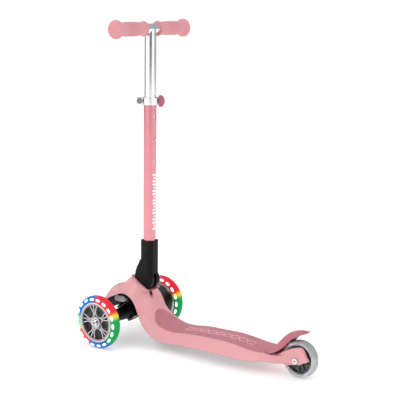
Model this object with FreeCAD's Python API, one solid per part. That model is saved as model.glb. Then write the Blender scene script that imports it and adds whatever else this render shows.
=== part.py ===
"""Three-wheeled kick scooter for a small child, as an assembly of separate pieces.

Axes: +X to the rear, +Y to the rider's right, +Z up, in millimetres. The pieces are drawn with
X = 0 over the front axle and Z = 0 on the ground, then moved so that the origin is the middle of
the footprint. The stem pieces are drawn upright on their own axis and leant back by the rake.
"""

import FreeCAD
import Part
import math
import os

# ---------------------------------------------------------------- overall layout
WHEELBASE = 467.5
TRACK = 226.0
NOSE_REACH = 76.0
RUNNING_GAP = 0.05
FREE_GAP = 0.4

# ---------------------------------------------------------------- front wheels
FRONT_WHEEL_R = 60.5
FRONT_WHEEL_WIDTH = 24.0
FRONT_TYRE_BORE_R = 45.5
TYRE_WALL = 3.0
TYRE_CROWN_STEPS = 8
TYRE_SQUARENESS = 0.75
LIGHT_COUNT = 18
LIGHT_LENGTH = 11.5
LIGHT_WIDTH = 7.0
LIGHT_FOOT_R = 49.0
LIGHT_RING_R = 54.5
LIGHT_LENS_R = 55.5
HUB_RIM_R = 39.5
HUB_CORE_WALL = 3.0
HUB_WEB = 3.0
SPOKE_COUNT = 5
SPOKE_TURN = 12.0
SPOKE_DEPTH = 5.5
SPOKE_RECESS = 2.5
RIB_WIDTH = 1.9
WINDOW_CENTRE_R = 26.5
WINDOW_R = 12.2
WINDOW_FOOT = 14.5

# ---------------------------------------------------------------- bearings and axles
AXLE_R = 4.0
BEARING_R = 11.0
BEARING_WIDTH = 7.0
BEARING_GAP = 8.0
SPACER_R = 6.0
AXLE_HEAD_R = 7.5
AXLE_HEAD = 3.6
SIDE_PLAY = 0.5

# ---------------------------------------------------------------- rear wheel and fork
REAR_WHEEL_R = 40.0
REAR_WHEEL_WIDTH = 24.0
REAR_TYRE_BORE_R = 31.0
REAR_RIM = 3.5
REAR_WEB_HALF = 5.0
REAR_RIB_COUNT = 10
FORK_INNER = 13.5
FORK_ARM = 7.5

# ---------------------------------------------------------------- deck shell
DECK_WALL = 4.0
PAD_THICKNESS = 2.5
PAD_HALF_WIDTH = 35.0
PAD_FRONT = 83.0
PAD_TO_AXLE = 76.5
PAD_NOSE = 34.0
LINER_THICKNESS = 2.6
LINER_INSET = 0.6
LINER_HALF_WIDTH = 39.0
HOLLOW_DROP = 12.0
PLATE_THICKNESS = 3.0
PLATE_FRONT = 150.0
PLATE_TO_AXLE = 117.5
PLATE_HALF_WIDTH = 36.0
PLATE_LOW = 29.0
PLATE_CORNER_R = 12.0
PLATE_HOLE_R = 11.0
DECK_SCREW_R = 2.5
SCREW_HEAD_R = 4.5
SCREW_HEAD = 2.4
SCREW_POST_R = 4.5
SCREW_BITE = 7.0
SCREW_ROWS = 4
SCREW_EDGE_X = 15.0
SCREW_EDGE_Y = 8.0

# ---------------------------------------------------------------- steering truck
KINGPIN_TILT = 36.0
KINGPIN_R = 6.0
TRUCK_HALF = 19.0
TRUCK_R = 18.0
TRUCK_ARM_ROOT_R = 16.5
TRUCK_ARM_TIP_R = 11.5
BUSH_WALL = 2.5
BUSH_FLANGE = 2.0
HOUSING_HALF_WIDTH = 34.0
HOUSING_DEPTH = 25.0
CUSHION_R = 7.0
LOCK_BUTTON_LENGTH = 32.0
LOCK_BUTTON_HEIGHT = 13.5
LOCK_BUTTON_TRAVEL = 3.0
LOCK_BUTTON_DEPTH = 5.0
LOCK_POCKET_DEPTH = 9.0
CUSHION_Y = 27.0
NUT_RECESS = 9.0
AXLE_ROOT_Y = 45.0
STOP_SCREW_R = 2.5
STOP_SCREW_Y = 23.0

# ---------------------------------------------------------------- fold hinge
STEM_FOOT_X = 54.7
STEM_FOOT_Z = 60.0
STEM_RAKE = 1.0
FOLD_X = 50.0
FOLD_Z = 147.0
BARREL_R = 25.0
KNUCKLE_WALL = 3.2
TONGUE_WIDTH = 9.0
TONGUE_R = 13.0
TONGUE_HEEL = 5.0
FOLD_PIN_R = 4.0
FOLD_PIN_COVER = 3.0
KNUCKLE_SCREW_HEAD_R = 4.5
KNUCKLE_SCREW_HEAD = 1.5
KNUCKLE_SCREW_DROPS = (17.0, 52.0)
COVER_TOP = 238.0
COVER_ROUND = 12.0
CUP_WALL = 5.5
RELEASE_WIDTH = 6.4
RELEASE_THICKNESS = 4.0
RELEASE_END = 41.0
RELEASE_TRAVEL = 4.0

# ---------------------------------------------------------------- stem and handlebar
OUTER_TUBE_R = 14.3
OUTER_TUBE_WALL = 1.3
OUTER_TUBE_TOP = 563.0
OUTER_TUBE_FOOT = 180.0
TUBE_CLEARANCE = 0.3
INNER_TUBE_WALL = 1.5
INNER_TUBE_FOOT = 300.0
HEIGHT_HOLE_Z = 470.0
HEIGHT_STEP = 50.0
HEIGHT_HOLE_R = 3.4
CROSSBAR_Z = 714.0
CROSSBAR_R = 11.0
CROSSBAR_WALL = 1.6
CROSSBAR_HALF = 115.0
GRIP_INNER = 22.0
GRIP_END = 120.0
GRIP_BODY_R = 15.0
GRIP_END_FLANGE_R = 20.0
GRIP_INNER_FLANGE_R = 16.5
PLUG_LENGTH = 14.0

# ---------------------------------------------------------------- stem clamp
CLAMP_HEIGHT = 16.0
CLAMP_WALL = 3.4
CLAMP_EAR_LENGTH = 10.8
CLAMP_EAR = 4.5
CLAMP_SLIT = 2.0
CLAMP_AZIMUTH = -142.6
CLAMP_BOLT_R = 2.5
LEVER_THICKNESS = 4.0
LEVER_HEIGHT = 12.0
LEVER_START = -31.0
LEVER_SWEEP = 140.0
LEVER_SLOT_HALF = 3.4
THUMB_NUT_R = 6.0
THUMB_NUT = 5.0
PADDLE_R = 13.0
LEVER_PIVOT_R = 6.0

# ---------------------------------------------------------------- brake
BRAKE_PIVOT_X = WHEELBASE - 63.5
BRAKE_PIVOT_Z = REAR_WHEEL_R + 4.0
BRAKE_PIN_R = 2.5
BRAKE_BARREL_R = 5.0
BRAKE_FRONT_HALF = 31.0
BRAKE_PIN_HALF = 32.5
WEAR_PLATE = 1.5
WEAR_PLATE_HALF = 11.0
BRAKE_CLEARANCE = 4.5
BRAKE_NOSE = 9.5
BRAKE_SPRING_HALF = 5.0
WHEEL_WELL_HALF = 14.0

# ---------------------------------------------------------------- values worked out from the above
REAR_END = WHEELBASE + REAR_WHEEL_R
ORIGIN_X = (REAR_END - NOSE_REACH) / 2.0
FRONT_WHEEL_Y = TRACK / 2.0
HUB_CORE_R = BEARING_R + HUB_CORE_WALL
HUB_HALF = BEARING_WIDTH + BEARING_GAP / 2.0
ARM_TIP_Y = FRONT_WHEEL_Y - HUB_HALF - SIDE_PLAY
AXLE_CAP_Y = FRONT_WHEEL_Y + HUB_HALF + SIDE_PLAY
TRUCK_Z = FRONT_WHEEL_R
FORK_OUTER = FORK_INNER + FORK_ARM
BARREL_WIDTH = 2.0 * (OUTER_TUBE_R + KNUCKLE_WALL)
INNER_TUBE_R = OUTER_TUBE_R - OUTER_TUBE_WALL - TUBE_CLEARANCE
CLAMP_R = OUTER_TUBE_R + CLAMP_WALL
CLAMP_EAR_REACH = CLAMP_R + CLAMP_EAR_LENGTH
PAD_REAR = WHEELBASE - PAD_TO_AXLE
PLATE_REAR = WHEELBASE - PLATE_TO_AXLE
DECK_START = 148.0
TAIL_START = WHEELBASE - 70.5
DECK_STRETCH = (TAIL_START - DECK_START) / 249.0
PLATE_TOP = PLATE_LOW + PLATE_THICKNESS
SIDES = {"left": -1.0, "right": 1.0}

os.makedirs("parts", exist_ok=True)
V = FreeCAD.Vector
ZERO = V(0, 0, 0)
X_AXIS = V(1, 0, 0)
Y_AXIS = V(0, 1, 0)
Z_AXIS = V(0, 0, 1)


# ================================================================ small helpers
def cylinder(radius, start, end):
    """Round bar from one point to another."""
    span = end.sub(start)
    return Part.makeCylinder(radius, span.Length, start, span)


def ring(outer_r, inner_r, start, end):
    """Round tube from one point to another."""
    span = end.sub(start)
    stretch = V(span).normalize()
    bore = cylinder(inner_r, start.sub(stretch), end.add(stretch))
    return cylinder(outer_r, start, end).cut(bore)


def block(low, high):
    """Box between two corners."""
    return Part.makeBox(high[0] - low[0], high[1] - low[1], high[2] - low[2], V(*low))


def side_profile(points, half_width, centre_y=0.0):
    """Closed outline of (x, z) points, extruded across the scooter."""
    corners = [V(x, centre_y - half_width, z) for x, z in points]
    face = Part.Face(Part.makePolygon(corners + [corners[0]]))
    return face.extrude(V(0, 2.0 * half_width, 0))


def turned(points, centre, axis):
    """Solid of revolution: points are (radius, distance along the axis)."""
    corners = [V(r, 0, s) for r, s in points]
    face = Part.Face(Part.makePolygon(corners + [corners[0]]))
    solid = face.revolve(ZERO, Z_AXIS, 360)
    turn = FreeCAD.Rotation(Z_AXIS, axis)
    solid.Placement = FreeCAD.Placement(centre, turn)
    return solid


def fuse(first, *others):
    """One solid from several that touch or overlap."""
    return first.multiFuse(list(others)).removeSplitter()


def group(pieces):
    """Several separate solids kept in one node."""
    return Part.makeCompound(pieces)


def filleted(shape, radius, edges):
    """Round the given edges, or keep them sharp where the radius doesn't fit."""
    if not edges:
        return shape
    rounded = shape.makeFillet(radius, edges)
    return rounded if rounded.isValid() else shape


def export(name, shape):
    """Write one node, moved so that the origin is under the middle of the scooter."""
    placed = shape.copy()
    placed.translate(V(-ORIGIN_X, 0, 0))
    placed.exportStep("parts/" + name + ".step")


def lean(shape):
    """Put a piece drawn upright on the Z axis onto the raked stem axis."""
    placed = shape.copy()
    placed.rotate(ZERO, Y_AXIS, STEM_RAKE)
    placed.translate(V(STEM_FOOT_X - STEM_FOOT_Z * math.tan(math.radians(STEM_RAKE)), 0, 0))
    return placed


def kingpin_point(along, y=0.0, across=0.0):
    """Point in the truck: along the inclined kingpin, and across it towards the rear."""
    tilt = math.radians(KINGPIN_TILT)
    x = -along * math.sin(tilt) + across * math.cos(tilt)
    z = TRUCK_Z + along * math.cos(tilt) + across * math.sin(tilt)
    return V(x, y, z)


# ================================================================ deck shell
# Stations along the shell, nose to tail. Each has the top point and the lower edge point (x, z),
# half the width at the lower edge and at the shoulder, and how far the crown falls to the shoulder.
def deck_x(along):
    """Place along the flat of the deck, which grows with the wheelbase."""
    return DECK_START + along * DECK_STRETCH


DECK_STATIONS = [
    ((-NOSE_REACH, 66.0), (-70.0, 58.0), 34.0, 30.0, 1.5),
    ((-68.0, 86.0), (-58.0, 70.0), 43.0, 35.0, 6.0),
    ((-50.0, 104.0), (-40.0, 88.0), 48.0, 38.0, 9.0),
    ((-24.0, 124.0), (-17.0, 102.5), 50.0, 39.0, 12.0),
    ((4.0, 142.0), (6.0, 112.5), 50.0, 38.0, 16.0),
    ((34.0, 150.0), (25.0, 114.5), 50.0, 37.0, 20.0),
    ((57.0, 133.0), (42.0, 106.5), 50.0, 38.0, 18.0),
    ((61.5, 108.0), (54.0, 92.0), 50.0, 40.0, 12.0),
    ((77.0, 84.5), (64.0, 71.0), 50.5, 41.0, 10.0),
    ((98.0, 65.5), (79.0, 47.0), 51.0, 41.0, 8.0),
    ((120.0, 53.0), (102.0, 29.0), 52.0, 40.0, 4.5),
    ((deck_x(0.0), 47.0), (deck_x(-12.0), 22.0), 53.0, 38.5, 2.0),
    ((deck_x(37.0), 50.0), (deck_x(35.0), 24.5), 53.5, 38.0, 1.5),
    ((deck_x(82.0), 53.0), (deck_x(82.0), 26.5), 54.0, 38.0, 1.5),
    ((deck_x(132.0), 54.5), (deck_x(132.0), 27.0), 54.0, 38.0, 1.5),
    ((deck_x(182.0), 51.5), (deck_x(182.0), 26.0), 53.0, 37.5, 1.5),
    ((deck_x(222.0), 47.5), (deck_x(222.0), 27.0), 49.0, 37.0, 1.5),
] + [
    ((WHEELBASE + along, REAR_WHEEL_R + top), (WHEELBASE + along, REAR_WHEEL_R + low), edge, shoulder, fall)
    for along, top, low, edge, shoulder, fall in (
        (-70.5, 8.0, -11.0, 40.0, 35.5, 1.5),
        (-54.5, 6.5, -11.5, 34.5, 32.5, 1.5),
        (-37.5, 6.0, -12.0, 26.5, 25.0, 1.2),
        (-21.5, 7.0, -12.0, FORK_OUTER + 0.3, FORK_OUTER - 0.5, 1.0))
]


def deck_section(station, sink, inset, drop_edge):
    """Closed wire across the shell: flat below, leaning side walls and a crowned top."""
    top, edge, half_edge, half_shoulder, fall = station
    top_point = V(top[0], 0, top[1])
    edge_point = V(edge[0], 0, edge[1])
    rise = top_point.sub(edge_point)
    up = V(rise).normalize()
    height = rise.Length - sink

    def at(y, s):
        return edge_point.add(V(up).multiply(s)).add(V(0, y, 0))

    low = -drop_edge
    low_y = half_edge - inset
    mid_y = half_shoulder - inset
    shoulder = height - fall
    left_low = at(-low_y, low)
    right_low = at(low_y, low)
    left_top = at(-mid_y, shoulder)
    right_top = at(mid_y, shoulder)
    crown = Part.Arc(left_top, at(0, height), right_top).toShape()
    return Part.Wire([
        Part.makeLine(left_low, left_top),
        crown,
        Part.makeLine(right_top, right_low),
        Part.makeLine(right_low, left_low),
    ])


def deck_loft(sink=0.0, inset=0.0, drop_edge=0.0):
    """Smooth solid through all the stations, with the top lowered and the sides drawn in."""
    wires = [deck_section(row, sink, inset, drop_edge) for row in DECK_STATIONS]
    return Part.makeLoft(wires, True, False)


def deck_hollow():
    """Room inside the shell, open below and closed at the nose and the tail."""
    rows = DECK_STATIONS[1:-3]
    wires = [deck_section(row, PAD_THICKNESS + DECK_WALL, DECK_WALL, HOLLOW_DROP) for row in rows]
    return Part.makeLoft(wires, True, True)


def barrel_centre_y(half_width):
    return V(FOLD_X, -half_width, FOLD_Z)


def seat_cup():
    """Raised cradle under the hinge barrel, its rim sloping down to the rear."""
    outer_r = BARREL_R + FREE_GAP + CUP_WALL
    half = BARREL_WIDTH / 2.0 + FREE_GAP + CUP_WALL
    outer = cylinder(outer_r, barrel_centre_y(half), barrel_centre_y(-half))
    outer = filleted(outer, 4.0, outer.Edges[:3:2])
    rim = side_profile([
        (FOLD_X - outer_r - 1.0, FOLD_Z - outer_r - 1.0),
        (FOLD_X - outer_r - 1.0, FOLD_Z + 8.0),
        (FOLD_X - 0.4 * outer_r, FOLD_Z - 6.0),
        (FOLD_X + 0.4 * outer_r, FOLD_Z - 20.0),
        (FOLD_X + outer_r + 1.0, FOLD_Z - 26.5),
        (FOLD_X + outer_r + 1.0, FOLD_Z - outer_r - 1.0),
    ], half + 1.0)
    return outer.common(rim)


def barrel_room():
    """Space that the hinge barrel and the folding stem sweep through."""
    radius = BARREL_R + FREE_GAP
    half = BARREL_WIDTH / 2.0 + FREE_GAP
    drum = cylinder(radius, barrel_centre_y(half), barrel_centre_y(-half))
    above = side_profile([
        (FOLD_X - radius, FOLD_Z),
        (FOLD_X - radius, FOLD_Z + 60.0),
        (FOLD_X + 90.0, FOLD_Z + 60.0),
        (FOLD_X + 90.0, FOLD_Z - BARREL_R - FREE_GAP),
        (FOLD_X, FOLD_Z - BARREL_R - FREE_GAP),
    ], half)
    return drum.fuse(above)


def above_rim():
    """Everything over the cup's rim on both sides of the barrel, to be cleared away."""
    outer_r = BARREL_R + FREE_GAP + CUP_WALL
    return side_profile([
        (FOLD_X - outer_r, FOLD_Z + 8.0),
        (FOLD_X - 0.4 * outer_r, FOLD_Z - 6.0),
        (FOLD_X + 0.4 * outer_r, FOLD_Z - 20.0),
        (FOLD_X + outer_r + 6.0, FOLD_Z - 26.5),
        (FOLD_X + outer_r + 6.0, FOLD_Z + 40.0),
        (FOLD_X - outer_r, FOLD_Z + 40.0),
    ], 60.0)


FORK_OUTLINE = [
    (WHEELBASE + along, REAR_WHEEL_R + above) for along, above in (
        (-55.5, -4.0), (-45.5, 4.0), (-31.3, 14.0), (-19.7, 20.3), (-9.5, 25.1), (2.7, 28.7),
        (10.7, 29.2), (15.8, 26.7), (20.0, 19.4), (24.1, 11.4), (29.3, 4.3), (26.8, 1.6),
        (11.3, -4.0), (-2.7, -8.7), (-19.1, -12.6), (-30.0, -12.6), (-55.5, -11.0))
]


def fork_arm(side):
    """Arm of the rear fork, outside the wheel on one side."""
    middle = side * (FORK_INNER + FORK_ARM / 2.0)
    return side_profile(FORK_OUTLINE, FORK_ARM / 2.0, middle)


def release_direction():
    """Unit vector along which the fold release is pulled, away from the barrel."""
    return V(9.5, 0, -32.0).normalize()


def release_bar(width, thickness, near, far):
    """Flat bar beside the barrel, from one radius of the barrel's axis to another."""
    out = release_direction()
    across = V(-out.z, 0, out.x)
    centre = V(FOLD_X, 0, FOLD_Z)
    corners = []
    for along, side in ((near, -1), (near, 1), (far, 1), (far, -1)):
        point = centre.add(V(out).multiply(along))
        point = point.add(V(across).multiply(side * thickness / 2.0))
        corners.append(V(point.x, -width / 2.0, point.z))
    face = Part.Face(Part.makePolygon(corners + [corners[0]]))
    return face.extrude(V(0, width, 0))


def pad_prism(grow):
    """Plan outline of the grip pad, extruded upwards, with a rounded front."""
    half = PAD_HALF_WIDTH + grow
    start = PAD_FRONT - grow
    rear = PAD_REAR + grow
    shoulder = PAD_FRONT + PAD_NOSE
    bend = 0.72
    left = Part.Arc(V(shoulder, -half, 0),
                    V(shoulder - PAD_NOSE * bend, -half * bend, 0), V(start, 0, 0))
    right = Part.Arc(V(start, 0, 0),
                     V(shoulder - PAD_NOSE * bend, half * bend, 0), V(shoulder, half, 0))
    wire = Part.Wire([
        left.toShape(),
        right.toShape(),
        Part.makeLine(V(shoulder, half, 0), V(rear, half, 0)),
        Part.makeLine(V(rear, half, 0), V(rear, -half, 0)),
        Part.makeLine(V(rear, -half, 0), V(shoulder, -half, 0)),
    ])
    return Part.Face(wire).extrude(V(0, 0, 160.0))


def rear_pocket():
    """Room in the tail for the brake's hinge and for the wheel to turn."""
    half = BRAKE_FRONT_HALF + FREE_GAP
    hinge_room = block((BRAKE_PIVOT_X - BRAKE_NOSE - FREE_GAP, -half, BRAKE_PIVOT_Z - 7.0),
                       (BRAKE_PIVOT_X + BRAKE_NOSE, half, 90.0))
    wheel_room = cylinder(REAR_WHEEL_R + 3.0, V(WHEELBASE, -FORK_INNER, REAR_WHEEL_R),
                          V(WHEELBASE, FORK_INNER, REAR_WHEEL_R))
    return hinge_room.fuse(wheel_room)


def deck_screw_places():
    """Screws up through the bottom plate into the deck."""
    for step in range(SCREW_ROWS):
        for side in (-1.0, 1.0):
            yield screw_row_x(step), side * (PLATE_HALF_WIDTH - SCREW_EDGE_Y)


def screw_row_x(step):
    """How far back one row of the bottom plate's screws is."""
    span = PLATE_REAR - PLATE_FRONT - 2.0 * SCREW_EDGE_X
    return PLATE_FRONT + SCREW_EDGE_X + step * span / (SCREW_ROWS - 1)


def deck_shell(outer, under_pad):
    """Moulded shell: deck, neck, nose, cradle and rear fork in one piece."""
    hollow = deck_hollow()
    tail_floor = block((BRAKE_PIVOT_X - 20.0, -60.0, 0.0), (WHEELBASE, 60.0, BRAKE_PIVOT_Z - 7.0))
    cup_core = cylinder(BARREL_R + FREE_GAP + CUP_WALL, barrel_centre_y(BARREL_WIDTH / 2.0 + 5.0),
                        barrel_centre_y(-BARREL_WIDTH / 2.0 - 5.0))
    hollow = hollow.cut(tail_floor).cut(cup_core)
    for x, y in deck_screw_places():
        hollow = hollow.cut(cylinder(SCREW_POST_R, V(x, y, PLATE_TOP), V(x, y, 80.0)))
    shell = outer.fuse(seat_cup())
    shell = shell.cut(above_rim())
    shell = shell.cut(pad_prism(0.0).common(outer).cut(under_pad))
    shell = shell.cut(hollow)
    for x, y in deck_screw_places():
        shell = shell.cut(cylinder(DECK_SCREW_R, V(x, y, 0.0), V(x, y, PLATE_TOP + SCREW_BITE)))
    shell = shell.cut(barrel_room())
    shell = shell.cut(rear_pocket())
    for side in SIDES.values():
        shell = shell.fuse(fork_arm(side))
    shell = shell.cut(cylinder(BRAKE_PIN_R, V(BRAKE_PIVOT_X, -BRAKE_PIN_HALF, BRAKE_PIVOT_Z),
                               V(BRAKE_PIVOT_X, BRAKE_PIN_HALF, BRAKE_PIVOT_Z)))
    axle_hole = cylinder(AXLE_R, V(WHEELBASE, -40.0, REAR_WHEEL_R), V(WHEELBASE, 40.0, REAR_WHEEL_R))
    shell = shell.cut(axle_hole)
    slot = block((FOLD_X - TONGUE_R, -TONGUE_WIDTH / 2.0, 60.0),
                 (FOLD_X + TONGUE_HEEL, TONGUE_WIDTH / 2.0, FOLD_Z))
    return shell.cut(slot).cut(release_slot())


def release_slot():
    """Slot down the back of the cradle in which the fold release slides."""
    return release_bar(RELEASE_WIDTH + 2.0 * FREE_GAP, RELEASE_THICKNESS + 2.0 * FREE_GAP,
                       BARREL_R - 2.0, RELEASE_END + RELEASE_TRAVEL + 1.0)


outer_skin = deck_loft()
below_pad = deck_loft(PAD_THICKNESS, 0.0, 1.0)
shell_solid = deck_shell(outer_skin, below_pad)
export("deck_shell", shell_solid)
export("grip_pad", pad_prism(0.0).common(outer_skin).cut(below_pad))


# ================================================================ deck fittings
def liner_curve(offset, stations):
    """Curve along the lower edges of the shell, moved towards the top by the offset."""
    points = []
    for top, edge, _, _, _ in stations:
        edge_point = V(edge[0], 0, edge[1])
        up = V(top[0], 0, top[1]).sub(edge_point).normalize()
        points.append(edge_point.add(up.multiply(offset)))
    curve = Part.BSplineCurve()
    curve.interpolate(points)
    return curve


def arch_liner():
    """Thin black arch under the nose and neck."""
    stations = DECK_STATIONS[1:12]
    lower = liner_curve(LINER_INSET, stations)
    upper = liner_curve(LINER_INSET + LINER_THICKNESS, stations)
    ends = [
        Part.makeLine(lower.EndPoint, upper.EndPoint),
        Part.makeLine(upper.StartPoint, lower.StartPoint),
    ]
    face = Part.Face(Part.Wire(Part.__sortEdges__([lower.toShape(), upper.toShape()] + ends)))
    half = LINER_HALF_WIDTH
    strip = face.extrude(V(0, 2.0 * half, 0))
    strip.translate(V(0, -half, 0))
    kingpin_hole = cylinder(KINGPIN_R + 6.0, kingpin_point(20.0), kingpin_point(90.0))
    tongue_hole = block((FOLD_X - TONGUE_R - 12.0, -9.0, 80.0), (FOLD_X + TONGUE_R + 12.0, 9.0, 125.0))
    return strip.cut(kingpin_hole).cut(tongue_hole).cut(shell_solid)


def deck_plate():
    """Steel plate that stiffens the deck from below, with lightening holes."""
    plate = block((PLATE_FRONT, -PLATE_HALF_WIDTH, PLATE_LOW), (PLATE_REAR, PLATE_HALF_WIDTH, PLATE_TOP))
    corners = [edge for edge in plate.Edges
               if abs(edge.tangentAt(edge.FirstParameter).z) > 0.9]
    plate = filleted(plate, PLATE_CORNER_R, corners)
    for x, y in deck_screw_places():
        plate = plate.cut(cylinder(DECK_SCREW_R, V(x, y, 0), V(x, y, 60)))
        plate = plate.cut(cylinder(SCREW_HEAD_R + RUNNING_GAP, V(x, y, 0), V(x, y, PLATE_LOW + SCREW_HEAD)))
    for step in range(SCREW_ROWS - 1):
        x = (screw_row_x(step) + screw_row_x(step + 1)) / 2.0
        plate = plate.cut(cylinder(PLATE_HOLE_R, V(x, 0, 0), V(x, 0, 60)))
    return plate


def screw(radius, head_r, head, start, end):
    """Pan head screw: start is under the head, end is the tip."""
    span = V(end).sub(start)
    back = V(span).normalize().multiply(-head)
    bar = cylinder(radius, start, end)
    cap = cylinder(head_r, start, V(start).add(back))
    return bar.fuse(cap)


def deck_screws():
    """Pan head screws of the bottom plate, their heads sunk level with it."""
    pieces = []
    for x, y in deck_screw_places():
        pieces.append(screw(DECK_SCREW_R, SCREW_HEAD_R, SCREW_HEAD, V(x, y, PLATE_LOW + SCREW_HEAD),
                            V(x, y, PLATE_TOP + SCREW_BITE)))
    return group(pieces)


def hinge_tongue():
    """Cast tongue that stands in the cradle and carries the fold pin."""
    half = TONGUE_WIDTH / 2.0
    eye = cylinder(TONGUE_R, V(FOLD_X, -half, FOLD_Z), V(FOLD_X, half, FOLD_Z))
    stem = block((FOLD_X - TONGUE_R, -half, 105.0), (FOLD_X + TONGUE_HEEL, half, FOLD_Z))
    body = fuse(stem, eye)
    bore = cylinder(FOLD_PIN_R + RUNNING_GAP, V(FOLD_X, -20, FOLD_Z), V(FOLD_X, 20, FOLD_Z))
    return body.cut(bore).cut(release_slot())


for node, shape in (
    ("arch_liner", arch_liner()),
    ("deck_plate", deck_plate()),
    ("deck_screws", deck_screws()),
    ("hinge_tongue", hinge_tongue()),
):
    export(node, shape)


# ================================================================ wheels
def wheel_piece(radius_profile, centre_y, side, radius):
    """Turned wheel part on the axle line, its profile running from the inner to the outer side."""
    return turned(radius_profile, V(0, centre_y, radius), V(0, side, 0))


def front_tyre(side):
    """Translucent tyre with a crowned tread and a channel inside for the lights."""
    half = FRONT_WHEEL_WIDTH / 2.0
    lights = LIGHT_WIDTH / 2.0 + 1.0
    height = FRONT_WHEEL_R - FRONT_TYRE_BORE_R
    crown = []
    for part in range(TYRE_CROWN_STEPS + 1):
        angle = math.pi / 2.0 * part / TYRE_CROWN_STEPS
        crown.append((FRONT_TYRE_BORE_R + TYRE_WALL + (height - TYRE_WALL) * math.sin(angle),
                      half * math.cos(angle) ** TYRE_SQUARENESS))
    profile = [(radius, -y) for radius, y in crown] + [(radius, y) for radius, y in reversed(crown[:-1])]
    profile += [
        (FRONT_TYRE_BORE_R, half - 1.0), (FRONT_TYRE_BORE_R, lights), (LIGHT_LENS_R, lights),
        (LIGHT_LENS_R, -lights), (FRONT_TYRE_BORE_R, -lights), (FRONT_TYRE_BORE_R, -half + 1.0),
    ]
    return wheel_piece(profile, side * FRONT_WHEEL_Y, side, FRONT_WHEEL_R)


def light_ring(side):
    """White carrier ring on the rim, with one lens per light."""
    half = LIGHT_WIDTH / 2.0
    carrier = ring(LIGHT_FOOT_R, FRONT_TYRE_BORE_R, V(0, -half, 0), V(0, half, 0))
    for index in range(LIGHT_COUNT):
        lens = block((-LIGHT_LENGTH / 2.0, -half, LIGHT_FOOT_R - 1.0),
                     (LIGHT_LENGTH / 2.0, half, LIGHT_RING_R))
        lens = filleted(lens, 2.0, [edge for edge in lens.Edges
                                    if abs(edge.tangentAt(edge.FirstParameter).y) > 0.9
                                    and edge.CenterOfMass.z > LIGHT_RING_R - 1.0])
        lens.rotate(ZERO, Y_AXIS, 360.0 * index / LIGHT_COUNT)
        carrier = carrier.fuse(lens)
    carrier.translate(V(0, side * FRONT_WHEEL_Y, FRONT_WHEEL_R))
    return carrier


def straight_rib(low, high):
    """Thin rib from the middle of the hub to its rim, pointing up."""
    return block((-RIB_WIDTH / 2.0, low, HUB_CORE_R - 2.0), (RIB_WIDTH / 2.0, high, HUB_RIM_R + 1.0))


def window_rib(low, high):
    """Rib round one U-shaped window, open towards the rim and pointing up."""
    far = HUB_RIM_R + 1.0

    def outline(radius, foot):
        left = V(-radius, low, WINDOW_CENTRE_R)
        right = V(radius, low, WINDOW_CENTRE_R)
        bend = Part.Arc(left, V(0, low, WINDOW_CENTRE_R - radius), right).toShape()
        left_foot = V(-foot, low, far)
        right_foot = V(foot, low, far)
        return Part.Face(Part.Wire([
            bend,
            Part.makeLine(right, right_foot),
            Part.makeLine(right_foot, left_foot),
            Part.makeLine(left_foot, left),
        ]))

    half = RIB_WIDTH / 2.0
    outer = outline(WINDOW_R + half, WINDOW_FOOT + half).extrude(V(0, high - low, 0))
    inner = outline(WINDOW_R - half, WINDOW_FOOT - half).extrude(V(0, high - low, 0))
    return outer.cut(inner)


def front_hub(side):
    """Rim, forked spokes and bearing housing of one front wheel."""
    half = FRONT_WHEEL_WIDTH / 2.0 - 1.5
    bore_half = HUB_HALF
    rim = wheel_piece([
        (HUB_RIM_R, -half), (FRONT_TYRE_BORE_R, -half), (FRONT_TYRE_BORE_R, half), (HUB_RIM_R, half),
    ], 0, side, 0)
    core = ring(HUB_CORE_R, SPACER_R + 1.5, V(0, -bore_half, 0), V(0, bore_half, 0))
    pieces = [core]
    face = side * (half - SPOKE_RECESS)
    low, high = sorted((face - side * SPOKE_DEPTH, face))
    for index in range(SPOKE_COUNT):
        turn = 360.0 / SPOKE_COUNT * index - SPOKE_TURN
        middle = straight_rib(low, high)
        middle.rotate(ZERO, Y_AXIS, turn)
        window = window_rib(low, high)
        window.rotate(ZERO, Y_AXIS, turn + 180.0 / SPOKE_COUNT)
        pieces += [middle, window]
    hub = fuse(rim, *pieces)
    for end in (-1.0, 1.0):
        hub = hub.cut(cylinder(BEARING_R, V(0, end * (bore_half - BEARING_WIDTH), 0),
                               V(0, end * (bore_half + 1.0), 0)))
    hub.translate(V(0, side * FRONT_WHEEL_Y, FRONT_WHEEL_R))
    return hub


def front_hub_disc(side):
    """Black disc that closes the wheel behind the spokes."""
    face = side * (FRONT_WHEEL_WIDTH / 2.0 - 1.5 - SPOKE_RECESS - SPOKE_DEPTH)
    disc = ring(HUB_RIM_R, HUB_CORE_R, V(0, face, 0), V(0, face - side * HUB_WEB, 0))
    disc.translate(V(0, side * FRONT_WHEEL_Y, FRONT_WHEEL_R))
    return disc


def bearings(centre_y, centre_x, height, half):
    """Two ball bearings, drawn as plain rings."""
    pieces = []
    for end in (-1.0, 1.0):
        inner = V(centre_x, centre_y + end * (half - BEARING_WIDTH), height)
        outer = V(centre_x, centre_y + end * half, height)
        pieces.append(ring(BEARING_R, AXLE_R + RUNNING_GAP, inner, outer))
    return group(pieces)


def bearing_spacer(centre_y, centre_x, height, half):
    """Sleeve that keeps the two bearings apart."""
    reach = half - BEARING_WIDTH
    return ring(SPACER_R, AXLE_R + RUNNING_GAP, V(centre_x, centre_y - reach, height),
                V(centre_x, centre_y + reach, height))


for name, side in SIDES.items():
    middle = side * FRONT_WHEEL_Y
    export("front_tyre_" + name, front_tyre(side))
    export("light_ring_" + name, light_ring(side))
    export("front_hub_" + name, front_hub(side))
    export("front_hub_disc_" + name, front_hub_disc(side))
    export("front_bearings_" + name, bearings(middle, 0, FRONT_WHEEL_R, HUB_HALF))
    export("front_bearing_spacer_" + name, bearing_spacer(middle, 0, FRONT_WHEEL_R, HUB_HALF))


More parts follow.
